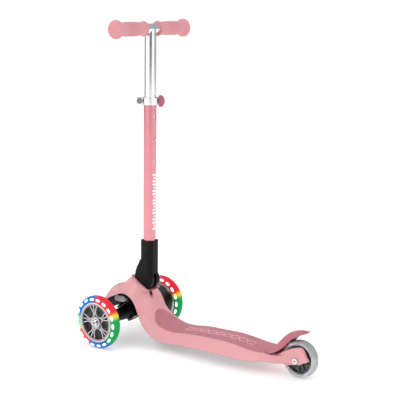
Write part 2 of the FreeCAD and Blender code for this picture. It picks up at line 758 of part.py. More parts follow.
def rear_tyre():
    """Clear cast tyre with a rounded tread."""
    half = REAR_WHEEL_WIDTH / 2.0
    depth = REAR_WHEEL_R - REAR_TYRE_BORE_R
    profile = []
    for share, inset in ((0.0, 2.5), (0.2, 0.2), (0.45, 0.0), (0.7, 1.4), (0.87, 3.6), (0.97, 6.4),
                         (1.0, 9.0)):
        profile.append((REAR_TYRE_BORE_R + share * depth, half - inset))
    low_side = [(radius, -y) for radius, y in profile]
    return turned(low_side + profile[::-1], V(WHEELBASE, 0, REAR_WHEEL_R), Y_AXIS)


def rear_hub():
    """Dished hub of the rear wheel with its bearing housing and webs."""
    half = REAR_WHEEL_WIDTH / 2.0 - 2.5
    rim = ring(REAR_TYRE_BORE_R, REAR_TYRE_BORE_R - REAR_RIM, V(0, -half, 0), V(0, half, 0))
    web_r = REAR_TYRE_BORE_R - REAR_RIM / 2.0
    web = ring(web_r, SPACER_R + 1.5, V(0, -REAR_WEB_HALF, 0), V(0, REAR_WEB_HALF, 0))
    core = ring(HUB_CORE_R, SPACER_R + 1.5, V(0, -HUB_HALF, 0), V(0, HUB_HALF, 0))
    ribs = []
    for index in range(REAR_RIB_COUNT):
        rib = block((-1.2, -half + 1.5, HUB_CORE_R - 1.0), (1.2, half - 1.5, web_r))
        rib.rotate(ZERO, Y_AXIS, 360.0 / REAR_RIB_COUNT * index)
        ribs.append(rib)
    hub = fuse(rim, web, core, *ribs)
    for end in (-1.0, 1.0):
        hub = hub.cut(cylinder(BEARING_R, V(0, end * (HUB_HALF - BEARING_WIDTH), 0),
                               V(0, end * (HUB_HALF + 1.0), 0)))
    hub.translate(V(WHEELBASE, 0, REAR_WHEEL_R))
    return hub


export("rear_tyre", rear_tyre())
export("rear_hub", rear_hub())
export("rear_bearings", bearings(0, WHEELBASE, REAR_WHEEL_R, HUB_HALF))
export("rear_bearing_spacer", bearing_spacer(0, WHEELBASE, REAR_WHEEL_R, HUB_HALF))


def rear_axle():
    """Bolt through the fork, its socket head on the left."""
    bolt = cylinder(AXLE_R, V(WHEELBASE, -FORK_OUTER, REAR_WHEEL_R),
                    V(WHEELBASE, FORK_OUTER + 5.0, REAR_WHEEL_R))
    head = cylinder(6.2, V(WHEELBASE, -FORK_OUTER - 3.2, REAR_WHEEL_R),
                    V(WHEELBASE, -FORK_OUTER, REAR_WHEEL_R))
    socket = hexagon(2.5, V(WHEELBASE, -FORK_OUTER - 4.0, REAR_WHEEL_R), V(0, 3.0, 0))
    return bolt.fuse(head).cut(socket)


def hexagon(flat_half, start, along):
    """Six-sided bar across the scooter."""
    corner = flat_half / math.cos(math.pi / 6.0)
    points = []
    for index in range(7):
        angle = math.pi / 3.0 * index
        points.append(V(start.x + corner * math.cos(angle), start.y, start.z + corner * math.sin(angle)))
    return Part.Face(Part.makePolygon(points)).extrude(along)


def rear_axle_nut():
    """Nut on the right end of the rear axle."""
    nut = hexagon(6.5, V(WHEELBASE, FORK_OUTER, REAR_WHEEL_R), V(0, 5.0, 0))
    return nut.cut(cylinder(AXLE_R, V(WHEELBASE, 0, REAR_WHEEL_R), V(WHEELBASE, 60, REAR_WHEEL_R)))


def rear_axle_spacers():
    """Washers between the fork and the bearings."""
    pieces = []
    for end in (-1.0, 1.0):
        pieces.append(ring(SPACER_R, AXLE_R, V(WHEELBASE, end * (HUB_HALF + FREE_GAP), REAR_WHEEL_R),
                           V(WHEELBASE, end * FORK_INNER, REAR_WHEEL_R)))
    return group(pieces)


export("rear_axle", rear_axle())
export("rear_axle_nut", rear_axle_nut())
export("rear_axle_spacers", rear_axle_spacers())


# ================================================================ steering truck
def front_carriage():
    """Pivoting truck: a barrel round the kingpin with a tapered arm to each wheel."""
    barrel = cylinder(TRUCK_R, kingpin_point(-TRUCK_HALF), kingpin_point(TRUCK_HALF))
    pieces = []
    for side in SIDES.values():
        arm = Part.makeCone(TRUCK_ARM_ROOT_R, TRUCK_ARM_TIP_R, ARM_TIP_Y, V(0, 0, TRUCK_Z), V(0, side, 0))
        pieces.append(arm)
    body = fuse(barrel, *pieces)
    body = body.cut(cylinder(KINGPIN_R + BUSH_WALL, kingpin_point(-60), kingpin_point(60)))
    body = body.cut(cylinder(KINGPIN_R + 7.0, kingpin_point(-60), kingpin_point(-TRUCK_HALF + NUT_RECESS)))
    for side in SIDES.values():
        inner = V(0, side * AXLE_ROOT_Y, TRUCK_Z)
        body = body.cut(cylinder(AXLE_R, inner, V(0, side * AXLE_CAP_Y, TRUCK_Z)))
        screw_start, screw_end = stop_screw_line(side)
        body = body.cut(cylinder(STOP_SCREW_R, screw_start, screw_end))
    return body


def stop_screw_line(side):
    """Where the set screw that limits the steering runs, on one side of the truck."""
    outer = V(-7.0, side * STOP_SCREW_Y, TRUCK_Z - 15.0)
    inner = V(1.0, side * STOP_SCREW_Y, TRUCK_Z - 5.0)
    return inner, outer


def kingpin_bushes():
    """Two flanged bushes pressed into the truck."""
    pieces = []
    bore = cylinder(KINGPIN_R + RUNNING_GAP, kingpin_point(-60), kingpin_point(60))
    upper = cylinder(KINGPIN_R + BUSH_WALL, kingpin_point(8.0), kingpin_point(TRUCK_HALF))
    flange = cylinder(TRUCK_R - 3.0, kingpin_point(TRUCK_HALF), kingpin_point(TRUCK_HALF + BUSH_FLANGE))
    pieces.append(upper.fuse(flange).cut(bore))
    low = -TRUCK_HALF + NUT_RECESS
    lower = cylinder(KINGPIN_R + BUSH_WALL, kingpin_point(low), kingpin_point(2.0))
    pieces.append(lower.cut(bore))
    return group(pieces)


def front_axles():
    """One axle bolt for each front wheel, with a domed chrome head."""
    pieces = []
    for side in SIDES.values():
        head_y = AXLE_CAP_Y
        shaft = cylinder(AXLE_R, V(0, side * AXLE_ROOT_Y, TRUCK_Z), V(0, side * head_y, TRUCK_Z))
        head = turned([
            (0, 0), (AXLE_HEAD_R, 0), (AXLE_HEAD_R, AXLE_HEAD * 0.55), (AXLE_HEAD_R - 1.6, AXLE_HEAD),
            (0, AXLE_HEAD),
        ], V(0, side * head_y, TRUCK_Z), V(0, side, 0))
        socket = hexagon(2.6, V(0, side * (head_y + AXLE_HEAD + 0.5), TRUCK_Z), V(0, -side * 3.0, 0))
        pieces.append(shaft.fuse(head).cut(socket))
    return group(pieces)


def steering_stop_screws():
    """Bright set screws under the truck that stop the steering at its limits."""
    pieces = []
    for side in SIDES.values():
        start, end = stop_screw_line(side)
        reach = V(end).sub(start).normalize().multiply(4.0)
        pieces.append(cylinder(STOP_SCREW_R, start, V(end).add(reach)))
    return group(pieces)


HOUSING_FLOOR = TRUCK_HALF + BUSH_FLANGE + FREE_GAP


def above_liner():
    """Everything above the underside of the arch liner."""
    stations = DECK_STATIONS[1:12]
    lower = liner_curve(LINER_INSET, stations)
    start = lower.StartPoint
    end = lower.EndPoint
    roof = 200.0
    wire = Part.Wire([
        lower.toShape(),
        Part.makeLine(end, V(end.x, 0, roof)),
        Part.makeLine(V(end.x, 0, roof), V(start.x, 0, roof)),
        Part.makeLine(V(start.x, 0, roof), start),
    ])
    solid = Part.Face(wire).extrude(V(0, 120.0, 0))
    solid.translate(V(0, -60.0, 0))
    return solid


def steering_housing():
    """Black block bolted under the arch, which holds the kingpin and the lock button."""
    half = HOUSING_HALF_WIDTH
    body = side_profile([(-44.0, 66.0), (-44.0, 120.0), (30.0, 120.0), (30.0, 90.0), (8.0, 88.0)], half)
    boss = cylinder(TRUCK_R + 2.0, kingpin_point(HOUSING_FLOOR), kingpin_point(60.0))
    body = body.fuse(boss)
    under = cylinder(90.0, kingpin_point(HOUSING_FLOOR), kingpin_point(HOUSING_FLOOR - 80.0))
    body = body.cut(under).cut(above_liner())
    body = body.cut(cylinder(KINGPIN_R, kingpin_point(0), kingpin_point(90)))
    body = body.cut(cylinder(KINGPIN_R + 4.0, kingpin_point(TRUCK_HALF + HOUSING_DEPTH), kingpin_point(90)))
    pocket = lock_button_bar(LOCK_BUTTON_LENGTH + 2.0 * FREE_GAP, LOCK_BUTTON_HEIGHT + 2.0 * FREE_GAP,
                             half + 1.0, half - LOCK_POCKET_DEPTH)
    return body.cut(pocket)


LOCK_X = -3.0
LOCK_Z = 97.0


def lock_button_bar(length, height, outer, inner):
    """Rounded bar across the scooter where the lock button sits, on the left of the housing."""
    radius = height / 2.0
    reach = length / 2.0 - radius
    low = V(LOCK_X - reach, -outer, LOCK_Z)
    high = V(LOCK_X + reach, -outer, LOCK_Z)
    depth = V(0, outer - inner, 0)
    bar = fuse(cylinder(radius, low, low.add(depth)), cylinder(radius, high, high.add(depth)),
               block((low.x, -outer, LOCK_Z - radius), (high.x, -inner, LOCK_Z + radius)))
    return bar


def steering_lock_button():
    """Grey oval button on the housing, pressed in to lock the steering."""
    half = HOUSING_HALF_WIDTH
    return lock_button_bar(LOCK_BUTTON_LENGTH, LOCK_BUTTON_HEIGHT, half + LOCK_BUTTON_TRAVEL,
                           half - LOCK_BUTTON_DEPTH)


def lock_button_spring():
    """Small spring behind the lock button, drawn as the sleeve it fills."""
    half = HOUSING_HALF_WIDTH
    return ring(4.0, 3.0, V(LOCK_X, -(half - LOCK_BUTTON_DEPTH) + FREE_GAP, LOCK_Z),
                V(LOCK_X, -(half - LOCK_POCKET_DEPTH), LOCK_Z))


def kingpin():
    """Kingpin bolt, its head sunk into the top of the housing."""
    top = TRUCK_HALF + HOUSING_DEPTH
    bar = cylinder(KINGPIN_R, kingpin_point(-TRUCK_HALF + 1.0), kingpin_point(top))
    head = cylinder(KINGPIN_R + 3.5, kingpin_point(top), kingpin_point(top + 5.0))
    return bar.fuse(head)


def kingpin_nut():
    """Lock nut and washer in the foot of the truck."""
    top = -TRUCK_HALF + NUT_RECESS - FREE_GAP
    nut = cylinder(KINGPIN_R + 4.0, kingpin_point(top), kingpin_point(-TRUCK_HALF + 1.5))
    washer = cylinder(KINGPIN_R + 6.0, kingpin_point(top), kingpin_point(top - 1.6))
    return nut.fuse(washer).cut(cylinder(KINGPIN_R, kingpin_point(-60), kingpin_point(60)))


for node, shape in (
    ("front_carriage", front_carriage()),
    ("kingpin_bushes", kingpin_bushes()),
    ("front_axles", front_axles()),
    ("steering_stop_screws", steering_stop_screws()),
    ("steering_housing", steering_housing()),
    ("steering_lock_button", steering_lock_button()),
    ("lock_button_spring", lock_button_spring()),
    ("kingpin", kingpin()),
    ("kingpin_nut", kingpin_nut()),
):
    export(node, shape)


def steering_cushions():
    """Rubber cushions between the truck's arms and the housing."""
    pieces = []
    for side in SIDES.values():
        y = side * CUSHION_Y
        pieces.append(cylinder(CUSHION_R, kingpin_point(TRUCK_ARM_ROOT_R, y),
                               kingpin_point(HOUSING_FLOOR, y)))
    return group(pieces)


export("steering_cushions", steering_cushions())


# ================================================================ fold hinge and stem
def knuckle_front(half):
    """Rounded bulge that joins the front of the barrel to the sleeve."""
    curve = Part.BSplineCurve()
    curve.interpolate([V(FOLD_X + along, -half, FOLD_Z + above) for along, above in (
        (-24.6, -3.0), (-24.9, 5.0), (-23.3, 16.0), (-19.2, 27.0), (-14.0, 36.0), (-10.3, 45.0))])
    low_back = V(FOLD_X + 15.0, -half, FOLD_Z - 3.0)
    high_back = V(FOLD_X + 15.0, -half, FOLD_Z + 45.0)
    wire = Part.Wire([curve.toShape(), Part.makeLine(curve.EndPoint, high_back),
                      Part.makeLine(high_back, low_back), Part.makeLine(low_back, curve.StartPoint)])
    bulge = Part.Face(wire).extrude(V(0, 2.0 * half, 0))
    curved = [edge for edge in bulge.Edges if edge.Length > 40.0 and edge.CenterOfMass.x < FOLD_X]
    return filleted(bulge, 5.0, [edge for edge in curved if edge.BoundBox.YLength < 1.0
                                 and edge.BoundBox.XLength > 5.0 and edge.BoundBox.XMin < FOLD_X - 20.0
                                 and edge.BoundBox.XMax < FOLD_X])


def hinge_knuckle():
    """Black foot of the stem: a barrel round the fold pin and a sleeve round the tube."""
    half = BARREL_WIDTH / 2.0
    barrel = cylinder(BARREL_R, barrel_centre_y(half), barrel_centre_y(-half))
    barrel = filleted(barrel, 5.0, [edge for edge in barrel.Edges if edge.Closed])
    front = knuckle_front(half)
    sleeve = block((-half, -half, FOLD_Z), (half, half, COVER_TOP))
    sleeve = filleted(sleeve, COVER_ROUND, [edge for edge in sleeve.Edges
                                            if abs(edge.tangentAt(edge.FirstParameter).z) > 0.9])
    sleeve = lean(sleeve)
    body = fuse(barrel, front, sleeve)
    tube_room = lean(cylinder(OUTER_TUBE_R, V(0, 0, OUTER_TUBE_FOOT), V(0, 0, COVER_TOP + 10)))
    body = body.cut(tube_room)
    gap = TONGUE_WIDTH / 2.0 + FREE_GAP
    eye_room = cylinder(TONGUE_R + FREE_GAP, V(FOLD_X, -gap, FOLD_Z), V(FOLD_X, gap, FOLD_Z))
    swing_room = block((FOLD_X - TONGUE_R - FREE_GAP, -gap, FOLD_Z - 40.0),
                       (FOLD_X + 40.0, gap, FOLD_Z + TONGUE_R + FREE_GAP))
    body = body.cut(eye_room).cut(swing_room)
    body = body.cut(fold_pin())
    for start, end in knuckle_screw_lines():
        body = body.cut(screw(DECK_SCREW_R, KNUCKLE_SCREW_HEAD_R, KNUCKLE_SCREW_HEAD + 2.5, start, end))
    return body


def fold_pin():
    """Hinge pin, its ends covered by the knuckle."""
    half = BARREL_WIDTH / 2.0 - FOLD_PIN_COVER
    return cylinder(FOLD_PIN_R, barrel_centre_y(half), barrel_centre_y(-half))


def knuckle_screw_lines():
    """Cross screws that hold the tube in the knuckle, from the left side."""
    half = BARREL_WIDTH / 2.0
    lines = []
    for drop in KNUCKLE_SCREW_DROPS:
        x = lean_x(COVER_TOP - drop)
        lines.append((V(x, -half + KNUCKLE_SCREW_HEAD, COVER_TOP - drop), V(x, half - 1.0, COVER_TOP - drop)))
    return lines


def lean_x(height):
    """Where the raked stem axis is at a height."""
    return STEM_FOOT_X + (height - STEM_FOOT_Z) * math.tan(math.radians(STEM_RAKE))


def knuckle_screws():
    """The two cross screws."""
    return group([screw(DECK_SCREW_R, KNUCKLE_SCREW_HEAD_R, KNUCKLE_SCREW_HEAD, start, end)
                  for start, end in knuckle_screw_lines()])


def outer_tube():
    """Lower stem tube with three height holes at the back and a clamping slit."""
    tube = ring(OUTER_TUBE_R, OUTER_TUBE_R - OUTER_TUBE_WALL, V(0, 0, OUTER_TUBE_FOOT),
                V(0, 0, OUTER_TUBE_TOP))
    for step in (-1, 0, 1):
        height = HEIGHT_HOLE_Z + step * HEIGHT_STEP
        tube = tube.cut(cylinder(HEIGHT_HOLE_R, V(0, 0, height), V(30, 0, height)))
    slit = block((5.0, -CLAMP_SLIT / 2.0, OUTER_TUBE_TOP - CLAMP_HEIGHT - 6.0),
                 (30.0, CLAMP_SLIT / 2.0, OUTER_TUBE_TOP + 1.0))
    slit.rotate(ZERO, Z_AXIS, CLAMP_AZIMUTH)
    tube = lean(tube.cut(slit))
    for start, end in knuckle_screw_lines():
        tube = tube.cut(cylinder(DECK_SCREW_R, start, end))
    return tube


CLAMP_Z = OUTER_TUBE_TOP - CLAMP_HEIGHT / 2.0
BOLT_X = CLAMP_EAR_REACH - 5.0
EAR_OUT = CLAMP_SLIT / 2.0 + CLAMP_EAR
PIVOT_Y = -(EAR_OUT + 0.5 + LEVER_PIVOT_R)


def on_clamp(shape):
    """Turn a clamp piece from its own axes onto the stem."""
    placed = shape.copy()
    placed.rotate(ZERO, Z_AXIS, CLAMP_AZIMUTH)
    placed.translate(V(0, 0, CLAMP_Z))
    return lean(placed)


def clamp_collar():
    """Split collar with two ears."""
    half = CLAMP_HEIGHT / 2.0
    collar = cylinder(CLAMP_R, V(0, 0, -half), V(0, 0, half))
    ears = block((CLAMP_R - 3.0, -EAR_OUT, -7.0), (CLAMP_EAR_REACH, EAR_OUT, 7.0))
    ears = filleted(ears, 4.0, [edge for edge in ears.Edges
                                if abs(edge.tangentAt(edge.FirstParameter).y) > 0.9
                                and edge.CenterOfMass.x > CLAMP_EAR_REACH - 1.0])
    collar = fuse(collar, ears)
    collar = collar.cut(cylinder(OUTER_TUBE_R, V(0, 0, -40), V(0, 0, 40)))
    collar = collar.cut(block((5.0, -CLAMP_SLIT / 2.0, -20.0), (40.0, CLAMP_SLIT / 2.0, 20.0)))
    collar = collar.cut(cylinder(CLAMP_BOLT_R, V(BOLT_X, -20, 0), V(BOLT_X, 20, 0)))
    return on_clamp(collar)


def clamp_bolt():
    """Bolt across the ears, with an eye for the lever's pin."""
    bar = cylinder(CLAMP_BOLT_R, V(BOLT_X, PIVOT_Y, 0), V(BOLT_X, EAR_OUT + THUMB_NUT + 1.0, 0))
    eye = cylinder(4.0, V(BOLT_X, PIVOT_Y, -3.0), V(BOLT_X, PIVOT_Y, 3.0))
    return on_clamp(bar.fuse(eye).cut(cylinder(2.0, V(BOLT_X, PIVOT_Y, -5), V(BOLT_X, PIVOT_Y, 5))))


def clamp_nut():
    """Round thumb nut on the bolt."""
    nut = turned([
        (CLAMP_BOLT_R, 0), (THUMB_NUT_R, 0), (THUMB_NUT_R, THUMB_NUT - 1.4), (THUMB_NUT_R - 1.0, THUMB_NUT),
        (CLAMP_BOLT_R, THUMB_NUT),
    ], V(BOLT_X, EAR_OUT, 0), Y_AXIS)
    return on_clamp(nut)


def clamp_lever():
    """Quick-release lever that wraps round the collar and ends in a thumb paddle."""
    half = LEVER_HEIGHT / 2.0
    inner_r = CLAMP_R + 1.5
    cam = cylinder(LEVER_PIVOT_R, V(BOLT_X, PIVOT_Y, -half), V(BOLT_X, PIVOT_Y, half))
    sweep = ring(inner_r + LEVER_THICKNESS, inner_r, V(0, 0, -half), V(0, 0, half))
    end_angle = LEVER_START - LEVER_SWEEP
    points = [V(0, 0, -half)]
    for step in range(6):
        angle = math.radians(LEVER_START - LEVER_SWEEP * step / 5.0)
        points.append(V(60.0 * math.cos(angle), 60.0 * math.sin(angle), -half))
    sector = Part.Face(Part.makePolygon(points + [points[0]])).extrude(V(0, 0, 2.0 * half))
    arm = sweep.common(sector)
    centre_r = inner_r + 4.0
    angle = math.radians(end_angle - 5.0)
    centre = V(centre_r * math.cos(angle), centre_r * math.sin(angle), 0)
    outline = Part.Ellipse(ZERO, PADDLE_R, 9.0).toShape()
    paddle = Part.Face(Part.Wire([outline])).extrude(V(0, 0, LEVER_THICKNESS + 1.0))
    paddle.translate(V(0, 0, -(LEVER_THICKNESS + 1.0) / 2.0))
    paddle.rotate(ZERO, Y_AXIS, 90)
    paddle.rotate(ZERO, Z_AXIS, 90 + math.degrees(angle))
    paddle.translate(centre)
    lever = fuse(cam, arm, paddle)
    lever = lever.cut(cylinder(CLAMP_R + 1.0, V(0, 0, -30), V(0, 0, 30)))
    slot = LEVER_SLOT_HALF
    lever = lever.cut(cylinder(5.0, V(BOLT_X, PIVOT_Y, -slot), V(BOLT_X, PIVOT_Y, slot)))
    lever = lever.cut(block((BOLT_X - 4.0, PIVOT_Y, -slot), (BOLT_X + 8.0, 0.0, slot)))
    lever = lever.cut(block((BOLT_X, PIVOT_Y - 4.0, -slot), (BOLT_X + 8.0, 0.0, slot)))
    lever = lever.cut(cylinder(2.0 + RUNNING_GAP, V(BOLT_X, PIVOT_Y, -30), V(BOLT_X, PIVOT_Y, 30)))
    return on_clamp(lever)


def lever_pin():
    """Pin that the lever turns on."""
    return on_clamp(cylinder(2.0, V(BOLT_X, PIVOT_Y, -5.8), V(BOLT_X, PIVOT_Y, 5.8)))


def fold_release_tab():
    """Pull tab in the back of the cradle."""
    return release_bar(RELEASE_WIDTH, RELEASE_THICKNESS, BARREL_R + FREE_GAP + 0.2, RELEASE_END)


# ================================================================ handlebar
def inner_tube():
    """Upper stem tube, saddled onto the crossbar."""
    tube = ring(INNER_TUBE_R, INNER_TUBE_R - INNER_TUBE_WALL, V(0, 0, INNER_TUBE_FOOT), V(0, 0, CROSSBAR_Z))
    tube = tube.cut(cylinder(CROSSBAR_R, V(0, -40, CROSSBAR_Z), V(0, 40, CROSSBAR_Z)))
    tube = tube.cut(cylinder(HEIGHT_HOLE_R, V(0, 0, HEIGHT_HOLE_Z), V(30, 0, HEIGHT_HOLE_Z)))
    return lean(tube)


def crossbar():
    """Straight bar across the top."""
    return lean(ring(CROSSBAR_R, CROSSBAR_R - CROSSBAR_WALL, V(0, -CROSSBAR_HALF, CROSSBAR_Z),
                     V(0, CROSSBAR_HALF, CROSSBAR_Z)))


def grip(side):
    """Soft grip with a thin inner flange and a wide flange at the end."""
    profile = [
        (CROSSBAR_R, GRIP_INNER), (GRIP_INNER_FLANGE_R - 1.0, GRIP_INNER),
        (GRIP_INNER_FLANGE_R, GRIP_INNER + 1.2), (GRIP_INNER_FLANGE_R, GRIP_INNER + 3.4),
        (GRIP_BODY_R - 0.8, GRIP_INNER + 6.0), (GRIP_BODY_R, GRIP_INNER + 26.0),
        (GRIP_BODY_R, GRIP_END - 30.0), (GRIP_BODY_R - 0.6, GRIP_END - 16.0),
        (GRIP_END_FLANGE_R - 1.6, GRIP_END - 11.5), (GRIP_END_FLANGE_R, GRIP_END - 8.5),
        (GRIP_END_FLANGE_R, GRIP_END - 4.0), (GRIP_END_FLANGE_R - 3.0, GRIP_END), (0.0, GRIP_END),
        (0.0, CROSSBAR_HALF), (CROSSBAR_R, CROSSBAR_HALF),
    ]
    return lean(turned(profile, V(0, 0, CROSSBAR_Z), V(0, side, 0)))


def bar_plugs():
    """Plugs in the ends of the crossbar."""
    pieces = []
    for side in SIDES.values():
        pieces.append(cylinder(CROSSBAR_R - CROSSBAR_WALL,
                               V(0, side * (CROSSBAR_HALF - PLUG_LENGTH), CROSSBAR_Z),
                               V(0, side * CROSSBAR_HALF, CROSSBAR_Z)))
    return lean(group(pieces))


def height_button():
    """Silver snap button that stands out of the middle hole."""
    radius = HEIGHT_HOLE_R - 0.3
    inside = INNER_TUBE_R - INNER_TUBE_WALL - FREE_GAP
    tip = OUTER_TUBE_R + 2.4
    button = turned([
        (0, inside - 2.2), (radius + 1.2, inside - 2.2), (radius + 1.2, inside - 0.8),
        (radius, inside - 0.8), (radius, tip - 1.4), (radius - 1.3, tip), (0, tip),
    ], V(0, 0, HEIGHT_HOLE_Z), X_AXIS)
    return lean(button)


def button_spring():
    """Leaf spring folded inside the tube behind the snap button."""
    reach = INNER_TUBE_R - INNER_TUBE_WALL - 2.6
    near = reach - 0.9
    strip = side_profile([
        (near - 0.8, HEIGHT_HOLE_Z + 5.0), (near, HEIGHT_HOLE_Z + 5.0), (near, HEIGHT_HOLE_Z - 6.0),
        (-near + 2.0, HEIGHT_HOLE_Z - 47.0), (-near, HEIGHT_HOLE_Z - 47.0), (-near, HEIGHT_HOLE_Z + 2.0),
        (-near + 0.8, HEIGHT_HOLE_Z + 2.0), (-near + 0.8, HEIGHT_HOLE_Z - 42.0),
        (near - 0.8, HEIGHT_HOLE_Z - 6.4),
    ], 2.5)
    return lean(strip)


# ================================================================ brake
BRAKE_STATIONS = [
    ((WHEELBASE + top_x, REAR_WHEEL_R + top_z), (WHEELBASE + edge_x, REAR_WHEEL_R + edge_z),
     edge, shoulder, fall)
    for top_x, top_z, edge_x, edge_z, edge, shoulder, fall in (
        (-73.0, 10.3, -72.5, 3.0, 31.0, 29.5, 0.8),
        (-63.5, 14.3, -60.5, 6.0, 31.0, 28.0, 1.2),
        (-53.5, 24.0, -47.5, 11.0, 28.5, 23.5, 3.0),
        (-43.5, 36.5, -36.0, 19.0, 23.5, 17.5, 4.0),
        (-33.0, 47.2, -25.0, 30.0, 19.5, 13.5, 5.0),
        (-21.0, 54.8, -15.5, 40.5, 18.0, 12.5, 5.0),
        (-7.5, 59.8, -4.5, 48.8, 17.5, 12.0, 4.5),
        (4.5, 61.8, 5.0, 53.8, 16.0, 11.0, 3.5),
        (13.5, 61.8, 13.0, 57.0, 13.0, 9.0, 2.0),
        (19.5, 60.8, 18.5, 58.8, 8.5, 6.5, 0.8))
]
WHEEL_CENTRE = V(WHEELBASE, 0, REAR_WHEEL_R)
PLATE_R = REAR_WHEEL_R + BRAKE_CLEARANCE
RIVET_ANGLES = (118.0, 138.0)
RIVET_R = 1.6
RIVET_LENGTH = 6.0


def wheel_ray(angle, radius, y=0.0):
    """Point above the rear wheel, at an angle from the rear and a radius."""
    turn = math.radians(angle)
    return V(WHEELBASE + radius * math.cos(turn), y, REAR_WHEEL_R + radius * math.sin(turn))


def brake_rivets():
    """Rivets that hold the wear plate."""
    return [cylinder(RIVET_R, wheel_ray(angle, PLATE_R), wheel_ray(angle, PLATE_R + RIVET_LENGTH))
            for angle in RIVET_ANGLES]


def brake_fender():
    """Foot brake: a crowned fender over the rear wheel with its hinge barrel in front."""
    half = BRAKE_FRONT_HALF
    wires = [deck_section(row, 0.0, 0.0, 0.0) for row in BRAKE_STATIONS]
    body = Part.makeLoft(wires, True, False)
    barrel = cylinder(BRAKE_BARREL_R, V(BRAKE_PIVOT_X, -half, BRAKE_PIVOT_Z),
                      V(BRAKE_PIVOT_X, half, BRAKE_PIVOT_Z))
    body = fuse(body, barrel)
    well = cylinder(PLATE_R + WEAR_PLATE, V(WHEELBASE, -WHEEL_WELL_HALF, REAR_WHEEL_R),
                    V(WHEELBASE, WHEEL_WELL_HALF, REAR_WHEEL_R))
    body = body.cut(well)
    spring_half = BRAKE_SPRING_HALF + FREE_GAP
    body = body.cut(cylinder(BRAKE_BARREL_R + FREE_GAP, V(BRAKE_PIVOT_X, -spring_half, BRAKE_PIVOT_Z),
                             V(BRAKE_PIVOT_X, spring_half, BRAKE_PIVOT_Z)))
    body = body.cut(cylinder(BRAKE_PIN_R + RUNNING_GAP, V(BRAKE_PIVOT_X, -60, BRAKE_PIVOT_Z),
                             V(BRAKE_PIVOT_X, 60, BRAKE_PIVOT_Z)))
    for rivet in brake_rivets():
        body = body.cut(rivet)
    return body


def brake_wear_plate():
    """Curved steel plate that rubs on the tyre."""
    half = WEAR_PLATE_HALF
    plate = ring(PLATE_R + WEAR_PLATE, PLATE_R, V(WHEELBASE, -half, REAR_WHEEL_R),
                 V(WHEELBASE, half, REAR_WHEEL_R))
    points = [WHEEL_CENTRE]
    for angle in (105.0, 128.0, 150.0):
        points.append(wheel_ray(angle, 90.0))
    wedge = Part.Face(Part.makePolygon(points + [points[0]])).extrude(V(0, 2.0 * half + 2.0, 0))
    wedge.translate(V(0, -half - 1.0, 0))
    plate = plate.common(wedge)
    for rivet in brake_rivets():
        plate = plate.cut(rivet)
    return plate


def brake_pin():
    """Pin across the tail of the deck."""
    return cylinder(BRAKE_PIN_R, V(BRAKE_PIVOT_X, -BRAKE_PIN_HALF, BRAKE_PIVOT_Z),
                    V(BRAKE_PIVOT_X, BRAKE_PIN_HALF, BRAKE_PIVOT_Z))


def brake_spring():
    """Torsion spring on the brake pin, drawn as the sleeve its coils fill."""
    half = BRAKE_SPRING_HALF
    return ring(BRAKE_BARREL_R - 0.6, BRAKE_PIN_R + 0.2, V(BRAKE_PIVOT_X, -half, BRAKE_PIVOT_Z),
                V(BRAKE_PIVOT_X, half, BRAKE_PIVOT_Z))


for node, shape in (
    ("hinge_knuckle", hinge_knuckle()),
    ("fold_pin", fold_pin()),
    ("knuckle_screws", knuckle_screws()),
    ("outer_tube", outer_tube()),
    ("clamp_collar", clamp_collar()),
    ("clamp_bolt", clamp_bolt()),
    ("clamp_nut", clamp_nut()),
    ("clamp_lever", clamp_lever()),
    ("lever_pin", lever_pin()),
    ("fold_release_tab", fold_release_tab()),
    ("inner_tube", inner_tube()),
    ("crossbar", crossbar()),
    ("grip_left", grip(SIDES["left"])),
    ("grip_right", grip(SIDES["right"])),
    ("bar_plugs", bar_plugs()),
    ("height_button", height_button()),
    ("button_spring", button_spring()),
    ("brake_fender", brake_fender()),
    ("brake_wear_plate", brake_wear_plate()),
    ("wear_plate_rivets", group(brake_rivets())),
    ("brake_pin", brake_pin()),
    ("brake_spring", brake_spring()),
):
    export(node, shape)
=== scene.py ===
"""Three-wheeled kick scooter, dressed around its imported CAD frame.

Every operator below takes one piece or one group of like pieces, gives it its finish and adds the small
modelled details that the CAD leaves out. Lengths are in metres and the frame is the CAD's own.
"""
import math

import bpy
from bpy.props import FloatProperty, FloatVectorProperty, IntProperty, PointerProperty
from mathutils import Matrix, Vector
from mathutils.bvhtree import BVHTree


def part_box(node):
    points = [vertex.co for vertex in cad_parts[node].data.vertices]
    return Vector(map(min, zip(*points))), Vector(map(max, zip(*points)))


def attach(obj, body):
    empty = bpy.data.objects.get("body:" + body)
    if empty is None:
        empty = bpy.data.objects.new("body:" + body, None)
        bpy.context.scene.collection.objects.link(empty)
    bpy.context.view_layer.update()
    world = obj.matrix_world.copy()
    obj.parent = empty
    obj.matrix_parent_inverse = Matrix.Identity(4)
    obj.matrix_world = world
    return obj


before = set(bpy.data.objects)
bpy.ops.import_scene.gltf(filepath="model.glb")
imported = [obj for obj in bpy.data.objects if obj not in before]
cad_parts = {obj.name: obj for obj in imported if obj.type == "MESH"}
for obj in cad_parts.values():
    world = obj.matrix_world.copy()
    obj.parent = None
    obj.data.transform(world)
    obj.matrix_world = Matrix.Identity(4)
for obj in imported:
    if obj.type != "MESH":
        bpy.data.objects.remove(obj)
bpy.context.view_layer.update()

bl_info = {
    "name": "Kick Scooter Dresser",
    "version": (1, 0, 0),
    "blender": (4, 5, 0),
    "location": "View3D > Sidebar > Scooter",
    "description": "Finishes and fine details for a lean-to-steer kick scooter",
    "category": "Object",
}

MM = 0.001
WHITE = (1.0, 1.0, 1.0, 1.0)

